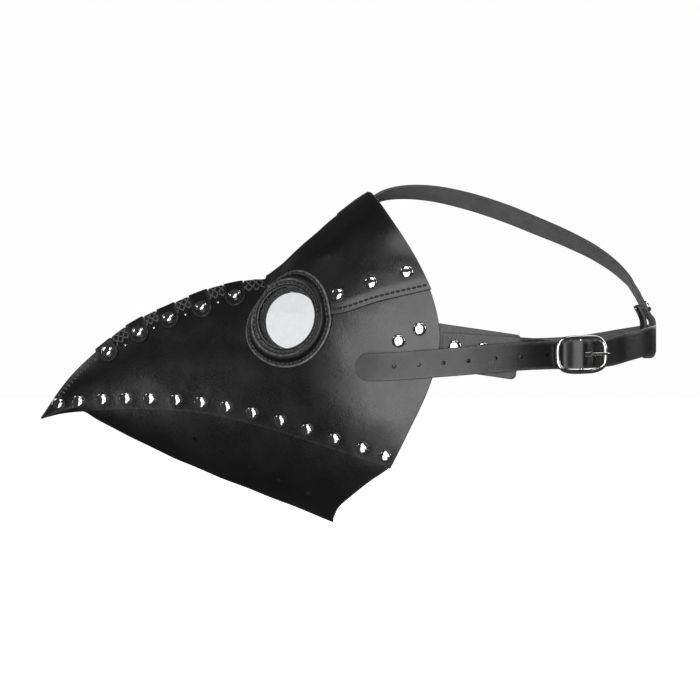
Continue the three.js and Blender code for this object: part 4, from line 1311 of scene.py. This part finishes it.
def buckle_ring():
    """Ring of round wire, a rounded rectangle seen from the front."""
    half_length = BUCKLE_LENGTH / 2 - BUCKLE_WIRE
    half_height = BUCKLE_HEIGHT / 2 - BUCKLE_WIRE
    turns = full_turn(4000)
    x = half_length * np.sign(np.cos(turns)) * np.abs(np.cos(turns)) ** 0.6
    y = half_height * np.sign(np.sin(turns)) * np.abs(np.sin(turns)) ** 0.6
    length = running_length(x, y)
    wanted = np.linspace(0, length[-1], 160, endpoint=False)
    line = np.stack([np.interp(wanted, length, x), np.interp(wanted, length, y), 0 * wanted], -1)
    along = unit(np.roll(line, -1, axis=0) - np.roll(line, 1, axis=0))
    outward = np.stack([along[:, 1], -along[:, 0], along[:, 2]], -1)
    rings = circles(outward, np.tile(UP, (len(line), 1)), full_turn(WIRE_SIDES))
    return plain_sweep((line[:, None] + BUCKLE_WIRE * rings)[:, ::-1], closed=True)


def add_buckle_frame():
    half_height = BUCKLE_HEIGHT / 2 - BUCKLE_WIRE
    bar = cylinder(CENTRE_BAR_RADIUS, -half_height, half_height, 24)
    upright_bar = frame_matrix([1, 0, 0], [0, 0, -1], [0, 1, 0], [0, 0, CENTRE_BAR_OUT])
    whole = merged([buckle_ring(), moved(bar, upright_bar)])
    add_piece("buckle_frame_metal", moved(whole, BUCKLE_FRAME), [NICKEL], "buckle_metal",
              node="buckle_frame", sharp=50)


def add_buckle_tongue():
    """Tapered prong, curled round the centre bar at one end and lying on the frame at the other."""
    curl = [(math.sin(t) * TONGUE_CURL_RADIUS, CENTRE_BAR_OUT + math.cos(t) * TONGUE_CURL_RADIUS)
            for t in np.linspace(-4.9, 0.25, 15)]
    top = BUCKLE_WIRE + 0.3 + TONGUE_RADIUS
    shank = [(4, 0.9), (8, 1.6), (12, top - 0.25), (15.2, top + 0.05), (16.9, top - 0.1),
             (BUCKLE_LENGTH / 2 + 0.2, top - 0.7)]
    places = np.linspace(0, 1, 90)
    line = spline([at_buckle(*place) for place in [*curl, *shank]])[0](places)
    side = np.tile(BUCKLE_UP, (len(line), 1))
    out = np.cross(unit(np.gradient(line, axis=0)), side)
    size = TONGUE_RADIUS * np.minimum(1, np.sqrt(np.clip(1.02 - places, 0.02, 1) * 22))
    rings = circles(1.15 * side, 0.8 * out, full_turn(TONGUE_SIDES))
    shape = plain_sweep(line[:, None] + size[:, None, None] * rings)
    add_piece("buckle_tongue_metal", shape, [NICKEL], "buckle_metal", "tongue", "buckle_tongue",
              sharp=50)


# ---- stage, light and camera

VIEW_DISTANCE = 1.0
VIEW_WIDTH = 0.46667
CAMERA_Y = -0.03333
CAMERA_Z = -0.00333
SURROUND_STRENGTH = 0.045
BACKDROP_STRENGTH = 0.985
FLOOR_DEPTH = 110
FLOOR_HALF = 6000

# Softboxes: name, place, target, size and power
SOFTBOXES = [
    ("key", (1.8, -0.3, -0.12), (0, -0.3, -0.12), (1.6, 1.8), 41),
    ("key_top", (1.05, -0.25, 1.45), (0, 0, 0.05), (0.8, 0.8), 7),
    ("key_low", (1.3, -0.6, -1.1), (0, 0, -0.05), (0.6, 0.7), 2),
    ("top", (0.2, 0.8, 1.6), (0, 0, 0.05), (0.8, 0.8), 3),
    ("front", (0.1, -1.7, 1.2), (0, -0.1, 0), (0.5, 0.5), 1.8),
    ("far_side", (-1.5, 0.9, 0.7), (0, 0, 0), (1.2, 1.2), 17),
    ("far_front", (-1.3, -1.4, 0.3), (0, 0, 0), (0.7, 1.0), 4),
    ("rear", (0.1, 2.0, 0.6), (0, 0, 0), (1.0, 1.0), 10)]


def add_camera():
    data = bpy.data.cameras.new("camera")
    data.sensor_width = 36
    data.lens = data.sensor_width * VIEW_DISTANCE / VIEW_WIDTH
    data.clip_start = 0.01
    camera = bpy.data.objects.new("camera", data)
    camera.location = (VIEW_DISTANCE, CAMERA_Y, CAMERA_Z)
    camera.rotation_euler = (math.radians(90), 0, math.radians(90))
    bpy.context.scene.collection.objects.link(camera)
    bpy.context.scene.camera = camera


def add_softbox(name, place, target, size, energy):
    data = bpy.data.lights.new(name, "AREA")
    data.shape = "RECTANGLE"
    data.size, data.size_y = size
    data.energy = energy
    light = bpy.data.objects.new(name, data)
    light.visible_transmission = False
    direction = unit(np.array(target) - np.array(place))
    light.matrix_world = Matrix(facing(-direction, place).tolist())
    bpy.context.scene.collection.objects.link(light)


def add_world():
    """Dim grey all round for the light, and white where the camera looks past the object."""
    world = bpy.data.worlds.new("studio")
    world.use_nodes = True
    nodes, links = world.node_tree.nodes, world.node_tree.links
    path = nodes.new("ShaderNodeLightPath")
    seen = nodes.new("ShaderNodeMath")
    seen.operation = "MAXIMUM"
    for i, kind in enumerate(("Is Camera Ray", "Is Transmission Ray")):
        links.new(path.outputs[kind], seen.inputs[i])
    strength = nodes.new("ShaderNodeMapRange")
    links.new(seen.outputs[0], strength.inputs["Value"])
    strength.inputs["To Min"].default_value = SURROUND_STRENGTH
    strength.inputs["To Max"].default_value = BACKDROP_STRENGTH
    links.new(strength.outputs["Result"], nodes["Background"].inputs["Strength"])
    nodes["Background"].inputs["Color"].default_value = (1, 1, 1, 1)
    bpy.context.scene.world = world


def add_floor():
    z = CAD_BOX[0].z / MM - FLOOR_DEPTH
    corners = [[-1, -1], [1, -1], [1, 1], [-1, 1]]
    points = np.array([[FLOOR_HALF * x, FLOOR_HALF * y, z] for x, y in corners])
    floor = mesh_object("floor", Shape(points, [[0, 1, 2, 3]], [GRAIN], np.zeros(4)))
    f = Finish("pale_floor", Roughness=0.9, Emission_Strength=0.97)
    f.shader.inputs["Base Color"].default_value = (0.9, 0.9, 0.9, 1)
    f.shader.inputs["Emission Color"].default_value = (1, 1, 1, 1)
    floor.data.materials.append(f.material)
    floor.visible_glossy = False
    floor.visible_diffuse = False
    floor.visible_shadow = False


add_camera()
add_world()
for softbox in SOFTBOXES:
    add_softbox(*softbox)
add_floor()
bpy.context.scene.view_settings.view_transform = "Standard"

add_side_panels()
add_forehead()
add_chin()
add_patch()
add_bands()
add_eyes()
add_front_seam()
add_lacing()
add_lacing_pins()
add_brow_stitches()
add_tabs()
add_rear_strap()
add_buckle_strap()
add_crown_strap()
add_crown_loop()
add_buckle_frame()
add_buckle_tongue()
add_rivets()
